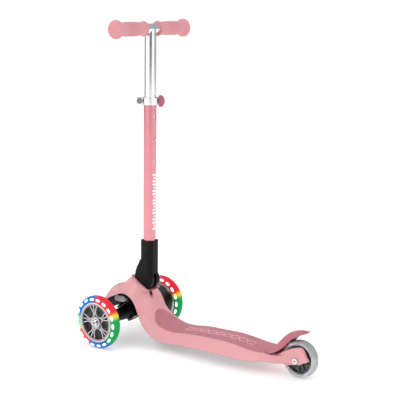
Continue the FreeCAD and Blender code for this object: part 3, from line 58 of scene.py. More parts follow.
# Drawn lines in metal are this many times as long as wide. The axes with 1.0 are the ones they run along.
LINE_STRETCH = 30.0
LINES_LEVEL = (1.0, 1.0, LINE_STRETCH)
LINES_UP = (LINE_STRETCH, LINE_STRETCH, 1.0)
LINES_ACROSS = (LINE_STRETCH, 1.0, LINE_STRETCH)
LINES_ALONG = (1.0, LINE_STRETCH, LINE_STRETCH)

# Six-sided outlines and dots of the foot pad. Rows of dots are closer than their pitch, to nest.
MARK_START = 92.0 * MM
MARK_PITCH = 21.0 * MM
MARK_HALF = 10.5 * MM
MARK_LINE_R = 0.55 * MM
DOT_ROW_SHARE = 0.866
DOT_MARGIN = 1.2 * MM
DOT_SINK = 0.15 * MM

# Printed bars of the lower tube, measured up from its foot.
BAR_START = 86.0 * MM
BAR_PITCH = 7.3 * MM
BAR_HEIGHT = 4.4 * MM
BAR_HALF_SWEEP = math.radians(24.0)
BAR_LIFT = 0.12 * MM
BAR_SINK = 0.05 * MM

# Ribs of a hand grip.
RIB_R = 0.55 * MM
RIB_SHIFT = 3.0 * MM
RIB_SHARE = 0.46
RIB_END_SINK = 0.5 * MM

# Front wheel, from the axle outwards: the hub's core, its ribs, the dusky ring, the rim and the lenses.
CORE_EDGE_R = 14.5 * MM
RIB_ROOT_R = 16.0 * MM
RIB_TIP_R = 39.0 * MM
RING_INNER_R = 39.8 * MM
RING_OUTER_R = 43.6 * MM
RIM_R = 44.2 * MM
LENS_FOOT_R = 49.2 * MM
LENS_TOP_R = 49.8 * MM

# Studio.
FLOOR_R = 6.0
FLOOR_DROP = 0.1 * MM
CAMERA_PLACE = (1.36325, -1.79800, 0.76690)
CAMERA_AIM = (-0.01292, 0.0, 0.34646)
CAMERA_LENS = 94.98
CAMERA_SENSOR = 36.0
SOFTBOX_AIM = (0.0, 0.0, 0.3)
# Name, place, side of the square and power.
SOFTBOXES = (
    ("key_softbox", (-0.2, -2.6, 2.6), 1.8, 26.0),
    ("rear_softbox", (2.8, 1.6, 2.4), 1.6, 14.0),
    ("side_softbox", (-2.8, 0.6, 2.2), 1.6, 14.0),
)


# ---------------------------------------------------------------- places read from the frame
def centre_of(node):
    """Middle of a node's box at rest."""
    low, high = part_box(node)
    return (Vector(low) + Vector(high)) / 2.0


def reach_of(node):
    """Size of a node's box at rest."""
    low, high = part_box(node)
    return Vector(high) - Vector(low)


FRONT_AXLE = centre_of("front_tyre_left")
FRONT_TYRE_R = reach_of("front_tyre_left").z / 2.0
PAD_LOW, PAD_HIGH = (Vector(corner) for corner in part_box("grip_pad"))
TUBE_LOW, TUBE_HIGH = (Vector(corner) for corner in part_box("outer_tube"))
STEM_RAKE = math.radians(1.0)
STEM_TUBE_R = 14.3 * MM
STEM_FOOT = Vector((TUBE_LOW.x + STEM_TUBE_R, 0.0, TUBE_LOW.z))


# ---------------------------------------------------------------- colour and node helpers
def linear(hex_colour):
    """Linear colour of an sRGB hex value such as #e8a3a9."""
    parts = [int(hex_colour[i:i + 2], 16) / 255.0 for i in (1, 3, 5)]
    return [v / 12.92 if v <= 0.04045 else ((v + 0.055) / 1.055) ** 2.4 for v in parts]


def opaque(colour):
    """Four numbers of a three-number colour."""
    return (colour[0], colour[1], colour[2], 1.0)


def tinted(colour, factor):
    """Colour made darker or lighter by a factor, kept within range."""
    return opaque([min(1.0, max(0.0, part * factor)) for part in colour])


def add(tree, kind, sockets=None, stops=(), **settings):
    """One shader node. Settings are its properties, and sockets its inputs, each a value or an output.

    A colour ramp also takes its stops, each (position, colour).
    """
    made = tree.nodes.new("ShaderNode" + kind)
    for name, value in settings.items():
        setattr(made, name, value)
    for key, value in (sockets or {}).items():
        if isinstance(value, bpy.types.NodeSocket):
            tree.links.new(value, made.inputs[key])
        else:
            made.inputs[key].default_value = value
    if stops:
        elements = made.color_ramp.elements
        while len(elements) < len(stops):
            elements.new(0.5)
        for element, (position, colour) in zip(elements, stops):
            element.position = position
            element.color = opaque(colour)
    return made


def new_material(name, colour):
    """Empty material holding only the object's own coordinates; the caller adds the shader and the output."""
    material = bpy.data.materials.new(name)
    material.use_nodes = True
    material.diffuse_color = opaque(colour)
    tree = material.node_tree
    tree.nodes.clear()
    place = add(tree, "TexCoord").outputs["Object"]
    return material, tree, place


def bump_chain(tree, heights, edge=0.0):
    """Normal from several height patterns, each (output, strength, depth), over rounded edges."""
    normal = None
    if edge:
        normal = add(tree, "Bevel", {"Radius": edge}, samples=4).outputs["Normal"]
    for height, strength, depth in heights:
        sockets = {"Strength": strength, "Distance": depth, "Height": height}
        if normal is not None:
            sockets["Normal"] = normal
        normal = add(tree, "Bump", sockets).outputs["Normal"]
    return normal


def from_axle(tree, place, axle):
    """Distance from a wheel's axle, in metres, seen along the axle."""
    shifted = add(tree, "VectorMath", {0: place, 1: tuple(axle)}, operation="SUBTRACT").outputs["Vector"]
    flat = add(tree, "VectorMath", {0: shifted, 1: (1.0, 0.0, 1.0)}, operation="MULTIPLY").outputs["Vector"]
    return add(tree, "VectorMath", {0: flat}, operation="LENGTH").outputs["Value"]


def moulded(name, colour, roughness, grain_mm=0.6, depth_mm=0.03, mottle=0.06, coat=0.0, edge_mm=0.5,
            level=0.5):
    """Injection-moulded plastic: even colour with a slight flow mottle and the mould's eroded grain."""
    material, tree, place = new_material(name, colour)
    flow = add(tree, "TexNoise", {"Vector": place, "Scale": 1.0 / (45 * MM), "Detail": 3.0}).outputs["Fac"]
    grain = add(tree, "TexNoise", {"Vector": place, "Scale": 1.0 / (grain_mm * MM),
                                   "Detail": 2.0}).outputs["Fac"]
    scuff = add(tree, "TexNoise", {"Vector": place, "Scale": 1.0 / (9 * MM), "Detail": 5.0,
                                   "Roughness": 0.7}).outputs["Fac"]
    tone = add(tree, "ValToRGB", {"Fac": flow},
               stops=[(0.3, tinted(colour, 1.0 - mottle)), (0.7, tinted(colour, 1.0 + mottle))])
    shine = add(tree, "MapRange", {"Value": scuff, "To Min": roughness - 0.07,
                                   "To Max": roughness + 0.09}).outputs["Result"]
    normal = bump_chain(tree, [(grain, 0.35, depth_mm * MM)], edge_mm * MM)
    shader = add(tree, "BsdfPrincipled", {
        "Base Color": tone.outputs["Color"], "Roughness": shine, "IOR": 1.5, "Normal": normal,
        "Specular IOR Level": level, "Coat Weight": coat, "Coat Roughness": 0.15})
    add(tree, "OutputMaterial", {"Surface": shader.outputs[0]})
    return material


def metal(name, colour, roughness, line_mm=0.4, across=LINES_LEVEL, depth_mm=0.004, edge_mm=0.3,
          stain=0.05):
    """Bare or anodised metal: drawn or brushed lines, uneven polish and slightly rounded edges."""
    material, tree, place = new_material(name, colour)
    stretched = add(tree, "Mapping", {"Vector": place, "Scale": across}).outputs["Vector"]
    lines = add(tree, "TexNoise", {"Vector": stretched, "Scale": 1.0 / (line_mm * LINE_STRETCH * MM),
                                   "Detail": 4.0, "Roughness": 0.6}).outputs["Fac"]
    cloud = add(tree, "TexNoise", {"Vector": place, "Scale": 1.0 / (18 * MM), "Detail": 3.0}).outputs["Fac"]
    tone = add(tree, "ValToRGB", {"Fac": cloud},
               stops=[(0.3, tinted(colour, 1.0 - stain)), (0.7, tinted(colour, 1.0 + stain))])
    shine = add(tree, "MapRange", {"Value": lines, "To Min": max(0.03, roughness - 0.06),
                                   "To Max": roughness + 0.06}).outputs["Result"]
    normal = bump_chain(tree, [(lines, 0.15, depth_mm * MM)], edge_mm * MM)
    shader = add(tree, "BsdfPrincipled", {
        "Base Color": tone.outputs["Color"], "Metallic": 1.0, "Roughness": shine, "Normal": normal})
    add(tree, "OutputMaterial", {"Surface": shader.outputs[0]})
    return material


def rubber(name, colour, roughness, pip_mm=1.1, depth_mm=0.08, mottle=0.08, sheen=0.15):
    """Soft thermoplastic rubber: matt, with a leathery pip and a faint dusty sheen."""
    material, tree, place = new_material(name, colour)
    pips = add(tree, "TexVoronoi", {"Vector": place, "Scale": 1.0 / (pip_mm * MM)}).outputs["Distance"]
    dust = add(tree, "TexNoise", {"Vector": place, "Scale": 1.0 / (22 * MM), "Detail": 6.0}).outputs["Fac"]
    fine = add(tree, "TexNoise", {"Vector": place, "Scale": 1.0 / (0.35 * MM), "Detail": 1.0}).outputs["Fac"]
    tone = add(tree, "ValToRGB", {"Fac": dust},
               stops=[(0.3, tinted(colour, 1.0 - mottle)), (0.72, tinted(colour, 1.0 + mottle))])
    shine = add(tree, "MapRange", {"Value": dust, "To Min": roughness - 0.06,
                                   "To Max": roughness + 0.08}).outputs["Result"]
    normal = bump_chain(tree, [(pips, 0.5, depth_mm * MM), (fine, 0.2, 0.03 * MM)])
    shader = add(tree, "BsdfPrincipled", {
        "Base Color": tone.outputs["Color"], "Roughness": shine, "IOR": 1.52, "Normal": normal,
        "Sheen Weight": sheen, "Sheen Roughness": 0.5})
    add(tree, "OutputMaterial", {"Surface": shader.outputs[0]})
    return material


# Rotation about the front axle, measured from the top towards the rear, in degrees, with the colour that the
# diodes give the clear tyre there.
GLOW_SECTORS = (
    (-180.0, "#0a62b4"), (-164.0, "#0a62b4"), (-154.0, "#d9504f"), (-120.0, "#e0605c"),
    (-108.0, "#9fdcae"), (-84.0, "#5fcf98"), (-72.0, "#0a70bc"), (-6.0, "#0a6cba"),
    (6.0, "#d22a38"), (58.0, "#d8262c"), (67.0, "#f0cc30"), (76.0, "#089650"),
    (134.0, "#08924c"), (144.0, "#0a62b4"), (180.0, "#0a62b4"),
)

# Bright dash over each diode: its distance from the axle, its length round the wheel and its width.
DIODE_COUNT = 18
SPOT_R = 53.4 * MM
SPOT_LENGTH = 12.0 * MM
SPOT_WIDTH = 5.4 * MM


def lit_polyurethane(name, colour):
    """Cast polyurethane lit from inside by coloured diodes: colour by sector, glossy skin, soft glow."""
    material, tree, place = new_material(name, colour)
    parts = add(tree, "SeparateXYZ", {"Vector": place})
    along = add(tree, "Math", {0: parts.outputs["X"], 1: FRONT_AXLE.x}, operation="SUBTRACT").outputs[0]
    above = add(tree, "Math", {0: parts.outputs["Z"], 1: FRONT_AXLE.z}, operation="SUBTRACT").outputs[0]
    angle = add(tree, "Math", {0: along, 1: above}, operation="ARCTAN2").outputs[0]
    turn = add(tree, "MapRange", {"Value": angle, "From Min": -math.pi,
                                  "From Max": math.pi}).outputs["Result"]
    sectors = add(tree, "ValToRGB", {"Fac": turn},
                  stops=[((degrees + 180.0) / 360.0, linear(tone)) for degrees, tone in GLOW_SECTORS])
    cloud = add(tree, "TexNoise", {"Vector": place, "Scale": 1.0 / (7 * MM), "Detail": 3.0}).outputs["Fac"]
    haze = add(tree, "MapRange", {"Value": cloud, "To Min": 0.0, "To Max": 0.012}).outputs["Result"]
    milk = add(tree, "Mix", {0: haze, 6: sectors.outputs["Color"], 7: WHITE}, data_type="RGBA").outputs[2]
    spot = diode_spots(tree, turn, from_axle(tree, place, FRONT_AXLE))
    shine = add(tree, "Mix", {0: spot, 6: sectors.outputs["Color"], 7: WHITE}, data_type="RGBA").outputs[2]
    swirl = bump_chain(tree, [(cloud, 0.15, 0.05 * MM)], 0.8 * MM)
    gloss = add(tree, "MapRange", {"Value": cloud, "To Min": 0.18, "To Max": 0.3}).outputs["Result"]
    glow = add(tree, "MapRange", {"Value": spot, "To Min": 0.1, "To Max": 1.6}).outputs["Result"]
    shader = add(tree, "BsdfPrincipled", {
        "Base Color": milk, "Roughness": gloss, "IOR": 1.5, "Normal": swirl, "Emission Color": shine,
        "Emission Strength": glow, "Specular IOR Level": 0.1})
    add(tree, "OutputMaterial", {"Surface": shader.outputs[0]})
    return material


def diode_spots(tree, turn, far):
    """Soft-ended bright dash over each diode: 1 in the dash, 0 around it. Turn is 0 to 1 round the wheel."""
    lengthwise = add(tree, "Math", {0: turn, 1: float(DIODE_COUNT)}, operation="MULTIPLY").outputs[0]
    share = add(tree, "Math", {0: lengthwise}, operation="FRACT").outputs[0]
    pitch = 2.0 * math.pi * SPOT_R / DIODE_COUNT
    along = add(tree, "MapRange", {"Value": share, "To Min": -pitch / SPOT_LENGTH,
                                   "To Max": pitch / SPOT_LENGTH})
    across = add(tree, "MapRange", {"Value": far, "From Min": SPOT_R - SPOT_WIDTH / 2.0,
                                    "From Max": SPOT_R + SPOT_WIDTH / 2.0, "To Min": -1.0, "To Max": 1.0},
                 clamp=False)
    squares = []
    for part in (along, across):
        size = add(tree, "Math", {0: part.outputs["Result"]}, operation="ABSOLUTE").outputs[0]
        squares.append(add(tree, "Math", {0: size, 1: 3.0}, operation="POWER").outputs[0])
    total = add(tree, "Math", {0: squares[0], 1: squares[1]}, operation="ADD").outputs[0]
    return add(tree, "MapRange", {"Value": total, "From Min": 1.35, "From Max": 0.65}).outputs["Result"]


def clear_polyurethane(name, colour):
    """Water-clear cast polyurethane: sees through, with faint casting swirls and a slightly dulled tread."""
    material, tree, place = new_material(name, colour)
    cloud = add(tree, "TexNoise", {"Vector": place, "Scale": 1.0 / (11 * MM), "Detail": 3.0}).outputs["Fac"]
    scuff = add(tree, "TexNoise", {"Vector": place, "Scale": 1.0 / (1.5 * MM), "Detail": 2.0}).outputs["Fac"]
    tone = add(tree, "ValToRGB", {"Fac": cloud},
               stops=[(0.3, tinted(colour, 0.97)), (0.7, tinted(colour, 1.02))])
    normal = bump_chain(tree, [(cloud, 0.1, 0.02 * MM), (scuff, 0.1, 0.004 * MM)])
    gloss = add(tree, "MapRange", {"Value": scuff, "To Min": 0.08, "To Max": 0.16}).outputs["Result"]
    shader = add(tree, "BsdfPrincipled", {
        "Base Color": tone.outputs["Color"], "Roughness": gloss, "IOR": 1.4, "Transmission Weight": 0.7,
        "Normal": normal})
    add(tree, "OutputMaterial", {"Surface": shader.outputs[0]})
    return material


def flaked(name, colour):
    """Nylon with metal flake moulded in: dark grey with fine bright specks."""
    material, tree, place = new_material(name, colour)
    cells = add(tree, "TexVoronoi", {"Vector": place, "Scale": 1.0 / (1.4 * MM)})
    level = add(tree, "SeparateColor", {"Color": cells.outputs["Color"]}).outputs["Red"]
    tone = add(tree, "ValToRGB", {"Fac": level}, stops=[
        (0.0, tinted(colour, 0.5)), (0.55, opaque(colour)), (0.8, tinted(colour, 2.2)),
        (0.95, tinted(colour, 6.0))])
    tone.color_ramp.interpolation = "CONSTANT"
    glint = add(tree, "MapRange", {"Value": level, "To Min": 0.5, "To Max": 0.16}).outputs["Result"]
    normal = bump_chain(tree, [(cells.outputs["Distance"], 0.35, 0.12 * MM)], 0.5 * MM)
    shader = add(tree, "BsdfPrincipled", {
        "Base Color": tone.outputs["Color"], "Roughness": glint, "Normal": normal, "Metallic": 0.35,
        "Coat Weight": 0.3})
    add(tree, "OutputMaterial", {"Surface": shader.outputs[0]})
    return material


def metallised_hub(name, colour):
    """Vacuum-metallised polycarbonate: bright rim, dusky ring, then bright ribs and a duller core."""
    material, tree, place = new_material(name, colour)
    far = from_axle(tree, place, FRONT_AXLE)
    share = add(tree, "MapRange", {"Value": far, "From Max": FRONT_TYRE_R}).outputs["Result"]
    tone = add(tree, "ValToRGB", {"Fac": share}, stops=[(radius / FRONT_TYRE_R, shade) for radius, shade in (
        (0.0, tinted(colour, 0.5)), (CORE_EDGE_R, tinted(colour, 0.6)), (RIB_ROOT_R, opaque(colour)),
        (RIB_TIP_R, opaque(colour)), (RING_INNER_R, linear("#a8989d")), (RING_OUTER_R, linear("#a8989d")),
        (RIM_R, linear("#f0f0f2")))])
    cloud = add(tree, "TexNoise", {"Vector": place, "Scale": 1.0 / (6 * MM), "Detail": 3.0}).outputs["Fac"]
    normal = bump_chain(tree, [(cloud, 0.1, 0.03 * MM)], 0.4 * MM)
    gloss = add(tree, "MapRange", {"Value": cloud, "To Min": 0.16, "To Max": 0.3}).outputs["Result"]
    shader = add(tree, "BsdfPrincipled", {
        "Base Color": tone.outputs["Color"], "Roughness": gloss, "Metallic": 0.85, "Normal": normal})
    add(tree, "OutputMaterial", {"Surface": shader.outputs[0]})
    return material


def diode(name, colour):
    """Diode ring: grey carrier on the rim, with bright lenses standing on it."""
    material, tree, place = new_material(name, colour)
    far = from_axle(tree, place, FRONT_AXLE)
    lens = add(tree, "MapRange", {"Value": far, "From Min": LENS_FOOT_R,
                                  "From Max": LENS_TOP_R}).outputs["Result"]
    cloud = add(tree, "TexNoise", {"Vector": place, "Scale": 1.0 / (5 * MM), "Detail": 2.0}).outputs["Fac"]
    tone = add(tree, "ValToRGB", {"Fac": lens}, stops=[(0.0, linear("#7c7c80")), (1.0, opaque(colour))])
    glow = add(tree, "MapRange", {"Value": lens, "To Min": 0.0, "To Max": 9.0}).outputs["Result"]
    gloss = add(tree, "MapRange", {"Value": cloud, "To Min": 0.2, "To Max": 0.35}).outputs["Result"]
    shader = add(tree, "BsdfPrincipled", {
        "Base Color": tone.outputs["Color"], "Roughness": gloss, "Emission Color": tone.outputs["Color"],
        "Emission Strength": glow})
    add(tree, "OutputMaterial", {"Surface": shader.outputs[0]})
    return material


# ---------------------------------------------------------------- mesh helpers
def new_piece(name, vertices, faces, body, material, smooth=True):
    """Mesh object that rides on a body and takes a material slot's finish."""
    mesh = bpy.data.meshes.new(name)
    mesh.from_pydata([tuple(v) for v in vertices], [], faces)
    mesh.validate()
    mesh.update()
    mesh.polygons.foreach_set("use_smooth", [smooth] * len(mesh.polygons))
    piece = bpy.data.objects.new(name, mesh)
    bpy.context.scene.collection.objects.link(piece)
    mesh.materials.append(material)
    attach(piece, body)
    return piece


def dress(node, material):
    """Puts a finish on every slot of a CAD node."""
    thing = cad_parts[node]
    if not thing.material_slots:
        thing.data.materials.append(material)
    for place in thing.material_slots:
        place.material = material


def skin_of(node):
    """Search tree over a CAD node's surface."""
    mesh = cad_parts[node].data
    corners = [v.co.copy() for v in mesh.vertices]
    return BVHTree.FromPolygons(corners, [tuple(p.vertices) for p in mesh.polygons])


def frame_on(normal):
    """Matrix whose third axis is the normal."""
    return normal.to_track_quat("Z", "Y").to_matrix()


class Heap:
    """Vertices and faces that are collected from many small shapes into one mesh."""

    def __init__(self):
        self.vertices = []
        self.faces = []

    def dome(self, centre, normal, radius, height, sides=8, sink=0.0):
        """Low dome standing on a surface."""
        turn = frame_on(normal)
        start = len(self.vertices)
        for ring_r, ring_z in ((1.0, -sink), (0.92, height * 0.55), (0.55, height * 0.92)):
            for k in range(sides):
                angle = 2.0 * math.pi * k / sides
                spot = Vector((radius * ring_r * math.cos(angle), radius * ring_r * math.sin(angle), ring_z))
                self.vertices.append(centre + turn @ spot)
        self.vertices.append(centre + normal * height)
        for ring in range(2):
            for k in range(sides):
                a = start + ring * sides + k
                b = start + ring * sides + (k + 1) % sides
                self.faces.append((a, b, b + sides, a + sides))
        last = start + 2 * sides
        for k in range(sides):
            self.faces.append((last + k, last + (k + 1) % sides, start + 3 * sides))
        self.faces.append(tuple(start + k for k in reversed(range(sides))))

    def patch(self, place, columns, rows, lift, sink):
        """Thin raised patch: place(u, v) gives a point of the surface and its normal, u and v from 0 to 1."""
        start = len(self.vertices)
        top = []
        under = []
        for j in range(rows + 1):
            for i in range(columns + 1):
                point, normal = place(i / columns, j / rows)
                top.append(point + normal * lift)
                under.append(point - normal * sink)
        self.vertices += top + under
        wide = columns + 1
        below = len(top)
        for j in range(rows):
            for i in range(columns):
                a = start + j * wide + i
                self.faces.append((a, a + 1, a + 1 + wide, a + wide))
                self.faces.append((a + wide + below, a + 1 + wide + below, a + 1 + below, a + below))
        rim = [i for i in range(wide)] + [j * wide + columns for j in range(1, rows + 1)]
        rim += [rows * wide + i for i in range(columns - 1, -1, -1)]
        rim += [j * wide for j in range(rows - 1, 0, -1)]
        for a, b in zip(rim, rim[1:] + rim[:1]):
            self.faces.append((start + b, start + a, start + a + below, start + b + below))

    def tube(self, path, radius, sides=8, flat=1.0, closed=False):
        """Round or flattened bar along a list of points."""
        start = len(self.vertices)
        count = len(path)
        for n, point in enumerate(path):
            ahead = path[(n + 1) % count] if closed or n + 1 < count else point
            back = path[n - 1] if closed or n else point
            along = (ahead - back).normalized()
            side = along.cross(Vector((0.0, 1.0, 0.0)))
            if side.length < 1e-4:
                side = along.cross(Vector((0.0, 0.0, 1.0)))
            side.normalize()
            other = along.cross(side).normalized()
            for k in range(sides):
                angle = 2.0 * math.pi * k / sides
                self.vertices.append(point + side * (radius * math.cos(angle))
                                     + other * (radius * flat * math.sin(angle)))
        for n in range(count if closed else count - 1):
            for k in range(sides):
                a = start + n * sides + k
                b = start + n * sides + (k + 1) % sides
                c = start + ((n + 1) % count) * sides + (k + 1) % sides
                d = start + ((n + 1) % count) * sides + k
                self.faces.append((a, b, c, d))
        if not closed:
            self.faces.append(tuple(start + k for k in reversed(range(sides))))
            self.faces.append(tuple(start + (count - 1) * sides + k for k in range(sides)))


# ---------------------------------------------------------------- what a user may change
def colour_setting(label, text, hex_colour):
    """Colour property with its default as a hex value."""
    return FloatVectorProperty(name=label, description=text, subtype="COLOR", size=3, min=0.0, max=1.0,
                               default=linear(hex_colour))


class ScooterColours(bpy.types.PropertyGroup):
    """Colours of the finishes."""

    shell: colour_setting("Shell", "Polypropylene of the deck, neck and fork", "#d5979c")
    pad: colour_setting("Pad", "Rubber of the foot pad", "#b46b77")
    pad_marks: colour_setting("Pad marks", "Paler outlines moulded into the foot pad", "#f0bfc6")
    fender: colour_setting("Fender", "Moulded brake fender", "#b26673")
    tube: colour_setting("Tube", "Anodised lower tube", "#dc929b")
    lever: colour_setting("Lever", "Quick-release lever", "#a95a6f")
    grip: colour_setting("Grips", "Rubber of the hand grips", "#ce8991")
    black: colour_setting("Black parts", "Glass-filled nylon of the fold joint and the housing", "#0d0d0e")
    silver: colour_setting("Silver", "Anodised aluminium of the upper tube", "#f4f4f6")
    marks: colour_setting("Tube marks", "Printed bars on the lower tube", "#fbf6f6")


class ScooterSizes(bpy.types.PropertyGroup):
    """Sizes of the added details."""

    dot_pitch: FloatProperty(name="Dot pitch", description="Spacing of the dots on the foot pad",
                             default=5.2 * MM, min=3.0 * MM, unit="LENGTH")
    dot_radius: FloatProperty(name="Dot radius", description="Radius of a dot on the foot pad",
                              default=1.3 * MM, min=0.4 * MM, unit="LENGTH")
    dot_height: FloatProperty(name="Dot height", description="How far a dot stands up",
                              default=0.35 * MM, min=0.1 * MM, unit="LENGTH")
    pad_marks: IntProperty(name="Pad marks", description="Number of pale outlines on the foot pad",
                           default=9, min=0)
    tube_bars: IntProperty(name="Tube bars", description="Number of printed bars on the tube",
                           default=18, min=0)
    grip_ribs: IntProperty(name="Grip ribs", description="Ribs round each hand grip", default=26, min=8)


# ---------------------------------------------------------------- operators
class SCOOTER_OT_shell(bpy.types.Operator):
    """Finishes the moulded shell, its arch liner, plate and screws"""

    bl_idname = "scooter.shell"
    bl_label = "Shell"

    def execute(self, context):
        colours = context.scene.scooter_colours
        # Polypropylene copolymer, moulded with a fine eroded grain: soft satin, slightly uneven gloss.
        dress("deck_shell", moulded("pink_polypropylene", colours.shell, 0.36, grain_mm=0.9, edge_mm=1.6,
                                    mottle=0.025))
        # Black polypropylene liner, matt and dust catching; its black is also painted shade, standing in for
        # the shade that falls under the fender.
        dress("arch_liner", moulded("liner_black_and_painted_shade", linear("#141415"), 0.55, edge_mm=0.6))
        # Zinc-plated steel sheet, rolled lines along the deck.
        dress("deck_plate", metal("zinc_plated_steel", linear("#a8abae"), 0.42, across=LINES_ALONG,
                                  stain=0.12))
        dress("deck_screws", metal("zinc_screw_steel", linear("#9fa1a4"), 0.32, stain=0.1))
        return {"FINISHED"}


class SCOOTER_OT_pad(bpy.types.Operator):
    """Finishes the foot pad and adds its raised dots and pale outlines"""

    bl_idname = "scooter.pad"
    bl_label = "Foot pad"

    def execute(self, context):
        colours = context.scene.scooter_colours
        sizes = context.scene.scooter_sizes
        # Thermoplastic rubber, moulded matt so that shoes hold on it.
        pad_finish = rubber("rose_pad_rubber", colours.pad, 0.62, pip_mm=1.3)
        dress("grip_pad", pad_finish)
        skin = skin_of("grip_pad")
        down = Vector((0.0, 0.0, -1.0))
        high = PAD_HIGH.z + 10.0 * MM

        def on_pad(x, y):
            hit, normal, _, _ = skin.ray_cast(Vector((x, y, high)), down)
            return hit, normal

        first_mark = PAD_LOW.x + MARK_START
        last_mark = first_mark + (sizes.pad_marks - 1) * MARK_PITCH

        dots = Heap()
        rows = int(reach_of("grip_pad").x / (sizes.dot_pitch * DOT_ROW_SHARE))
        edge = sizes.dot_radius + DOT_MARGIN
        for row in range(rows):
            x = PAD_LOW.x + (row + 0.5) * sizes.dot_pitch * DOT_ROW_SHARE
            for column in range(-9, 10):
                y = (column + 0.5 * (row % 2)) * sizes.dot_pitch
                clear = MARK_HALF + edge
                if first_mark - clear < x < last_mark + clear and abs(y) < clear:
                    continue
                around = [on_pad(x + dx, y + dy) for dx, dy in
                          ((0, 0), (edge, 0), (-edge, 0), (0, edge), (0, -edge))]
                if any(hit is None or normal.z < 0.3 for hit, normal in around):
                    continue
                hit, normal = around[0]
                dots.dome(hit, normal, sizes.dot_radius, sizes.dot_height, sink=DOT_SINK)
        new_piece("pad_dots", dots.vertices, dots.faces, "deck", pad_finish)

        # The same rubber in the shell's pink: a chain of thin six-sided outlines, a little raised.
        pale = rubber("pale_pad_rubber", colours.pad_marks, 0.55, pip_mm=1.3)
        outlines = Heap()
        steps = 4
        for number in range(sizes.pad_marks):
            corners = [(first_mark + number * MARK_PITCH + MARK_HALF * math.cos(math.radians(60.0 * k)),
                        MARK_HALF * math.sin(math.radians(60.0 * k))) for k in range(6)]
            path = []
            for (x0, y0), (x1, y1) in zip(corners, corners[1:] + corners[:1]):
                for step in range(steps):
                    share = step / steps
                    path.append(on_pad(x0 + (x1 - x0) * share, y0 + (y1 - y0) * share)[0])
            outlines.tube(path, MARK_LINE_R, sides=6, closed=True)
        new_piece("pad_marks", outlines.vertices, outlines.faces, "deck", pale)
        return {"FINISHED"}


class SCOOTER_OT_fold_joint(bpy.types.Operator):
    """Finishes the fold joint at the foot of the stem"""

    bl_idname = "scooter.fold_joint"
    bl_label = "Fold joint"

    def execute(self, context):
        black = context.scene.scooter_colours.black
        # Glass-filled nylon: near-black satin with a coarse eroded grain.
        nylon = moulded("black_glass_filled_nylon", black, 0.34, grain_mm=0.8, depth_mm=0.03, mottle=0.12,
                        edge_mm=1.4, level=0.14)
        dress("hinge_knuckle", nylon)
        dress("fold_release_tab", moulded("black_tab_nylon", tinted(black, 0.8), 0.34))
        dress("hinge_tongue", metal("cast_aluminium_tongue", linear("#8d9094"), 0.45, stain=0.1))
        dress("fold_pin", metal("ground_pin_steel", linear("#c3c5c8"), 0.2))
        dress("knuckle_screws", metal("black_oxide_screws", linear("#2b2b2e"), 0.33))
        return {"FINISHED"}


class SCOOTER_OT_stem(bpy.types.Operator):
    """Finishes the two stem tubes and the crossbar and prints the marks on the lower tube"""

    bl_idname = "scooter.stem"
    bl_label = "Stem"

    def execute(self, context):
        colours = context.scene.scooter_colours
        sizes = context.scene.scooter_sizes
        # Drawn aluminium, bead blasted and anodised: die lines along the tube under a satin dyed skin.
        dress("outer_tube", metal("pink_anodised_aluminium", colours.tube, 0.2, across=LINES_UP, stain=0.02))
        # Drawn aluminium, clear anodised and brighter than the lower tube.
        silver = metal("clear_anodised_aluminium", colours.silver, 0.13, across=LINES_UP, stain=0.02)
        dress("inner_tube", silver)
        dress("crossbar", metal("crossbar_aluminium", colours.silver, 0.15, across=LINES_ACROSS, stain=0.02))
        dress("height_button", metal("nickel_button", linear("#d2d3d6"), 0.18))
        dress("button_spring", metal("spring_steel", linear("#8c8e92"), 0.3))

        # Screen-printed white ink, a plain ladder of wide and narrow bars.
        ink = moulded("white_screen_ink", colours.marks, 0.4, grain_mm=0.5, depth_mm=0.01, mottle=0.02,
                      edge_mm=0.05)
        ladder = Heap()
        for number in range(sizes.tube_bars):
            height = BAR_START + number * BAR_PITCH
            narrow = 0.5 if number % 3 == 1 else 1.0

            def place(u, v, height=height, narrow=narrow):
                angle = (u - 0.5) * 2.0 * BAR_HALF_SWEEP * narrow
                out = Vector((math.cos(angle), math.sin(angle), 0.0))
                lean = Matrix.Rotation(STEM_RAKE, 3, "Y")
                rise = height + (v - 0.5) * BAR_HEIGHT
                return STEM_FOOT + lean @ (out * STEM_TUBE_R + Vector((0.0, 0.0, rise))), lean @ out

            ladder.patch(place, columns=10, rows=2, lift=BAR_LIFT, sink=BAR_SINK)
        new_piece("stem_marks", ladder.vertices, ladder.faces, "stem", ink)
        return {"FINISHED"}


class SCOOTER_OT_clamp(bpy.types.Operator):
    """Finishes the quick-release clamp"""

    bl_idname = "scooter.clamp"
    bl_label = "Clamp"

    def execute(self, context):
        colours = context.scene.scooter_colours
        # Forged aluminium, tumbled and clear anodised.
        dress("clamp_collar", metal("forged_clamp_aluminium", linear("#f2f2f4"), 0.16, edge_mm=0.6))
        dress("clamp_bolt", metal("clamp_bolt_steel", linear("#a9abae"), 0.24))
        dress("clamp_nut", metal("nickel_plated_nut", linear("#8f9195"), 0.2))
        dress("lever_pin", metal("lever_pin_steel", linear("#b5b7ba"), 0.22))
        # Moulded nylon lever, glossier than the shell.
        dress("clamp_lever", moulded("plum_lever_nylon", colours.lever, 0.3, coat=0.3, edge_mm=1.2))
        return {"FINISHED"}


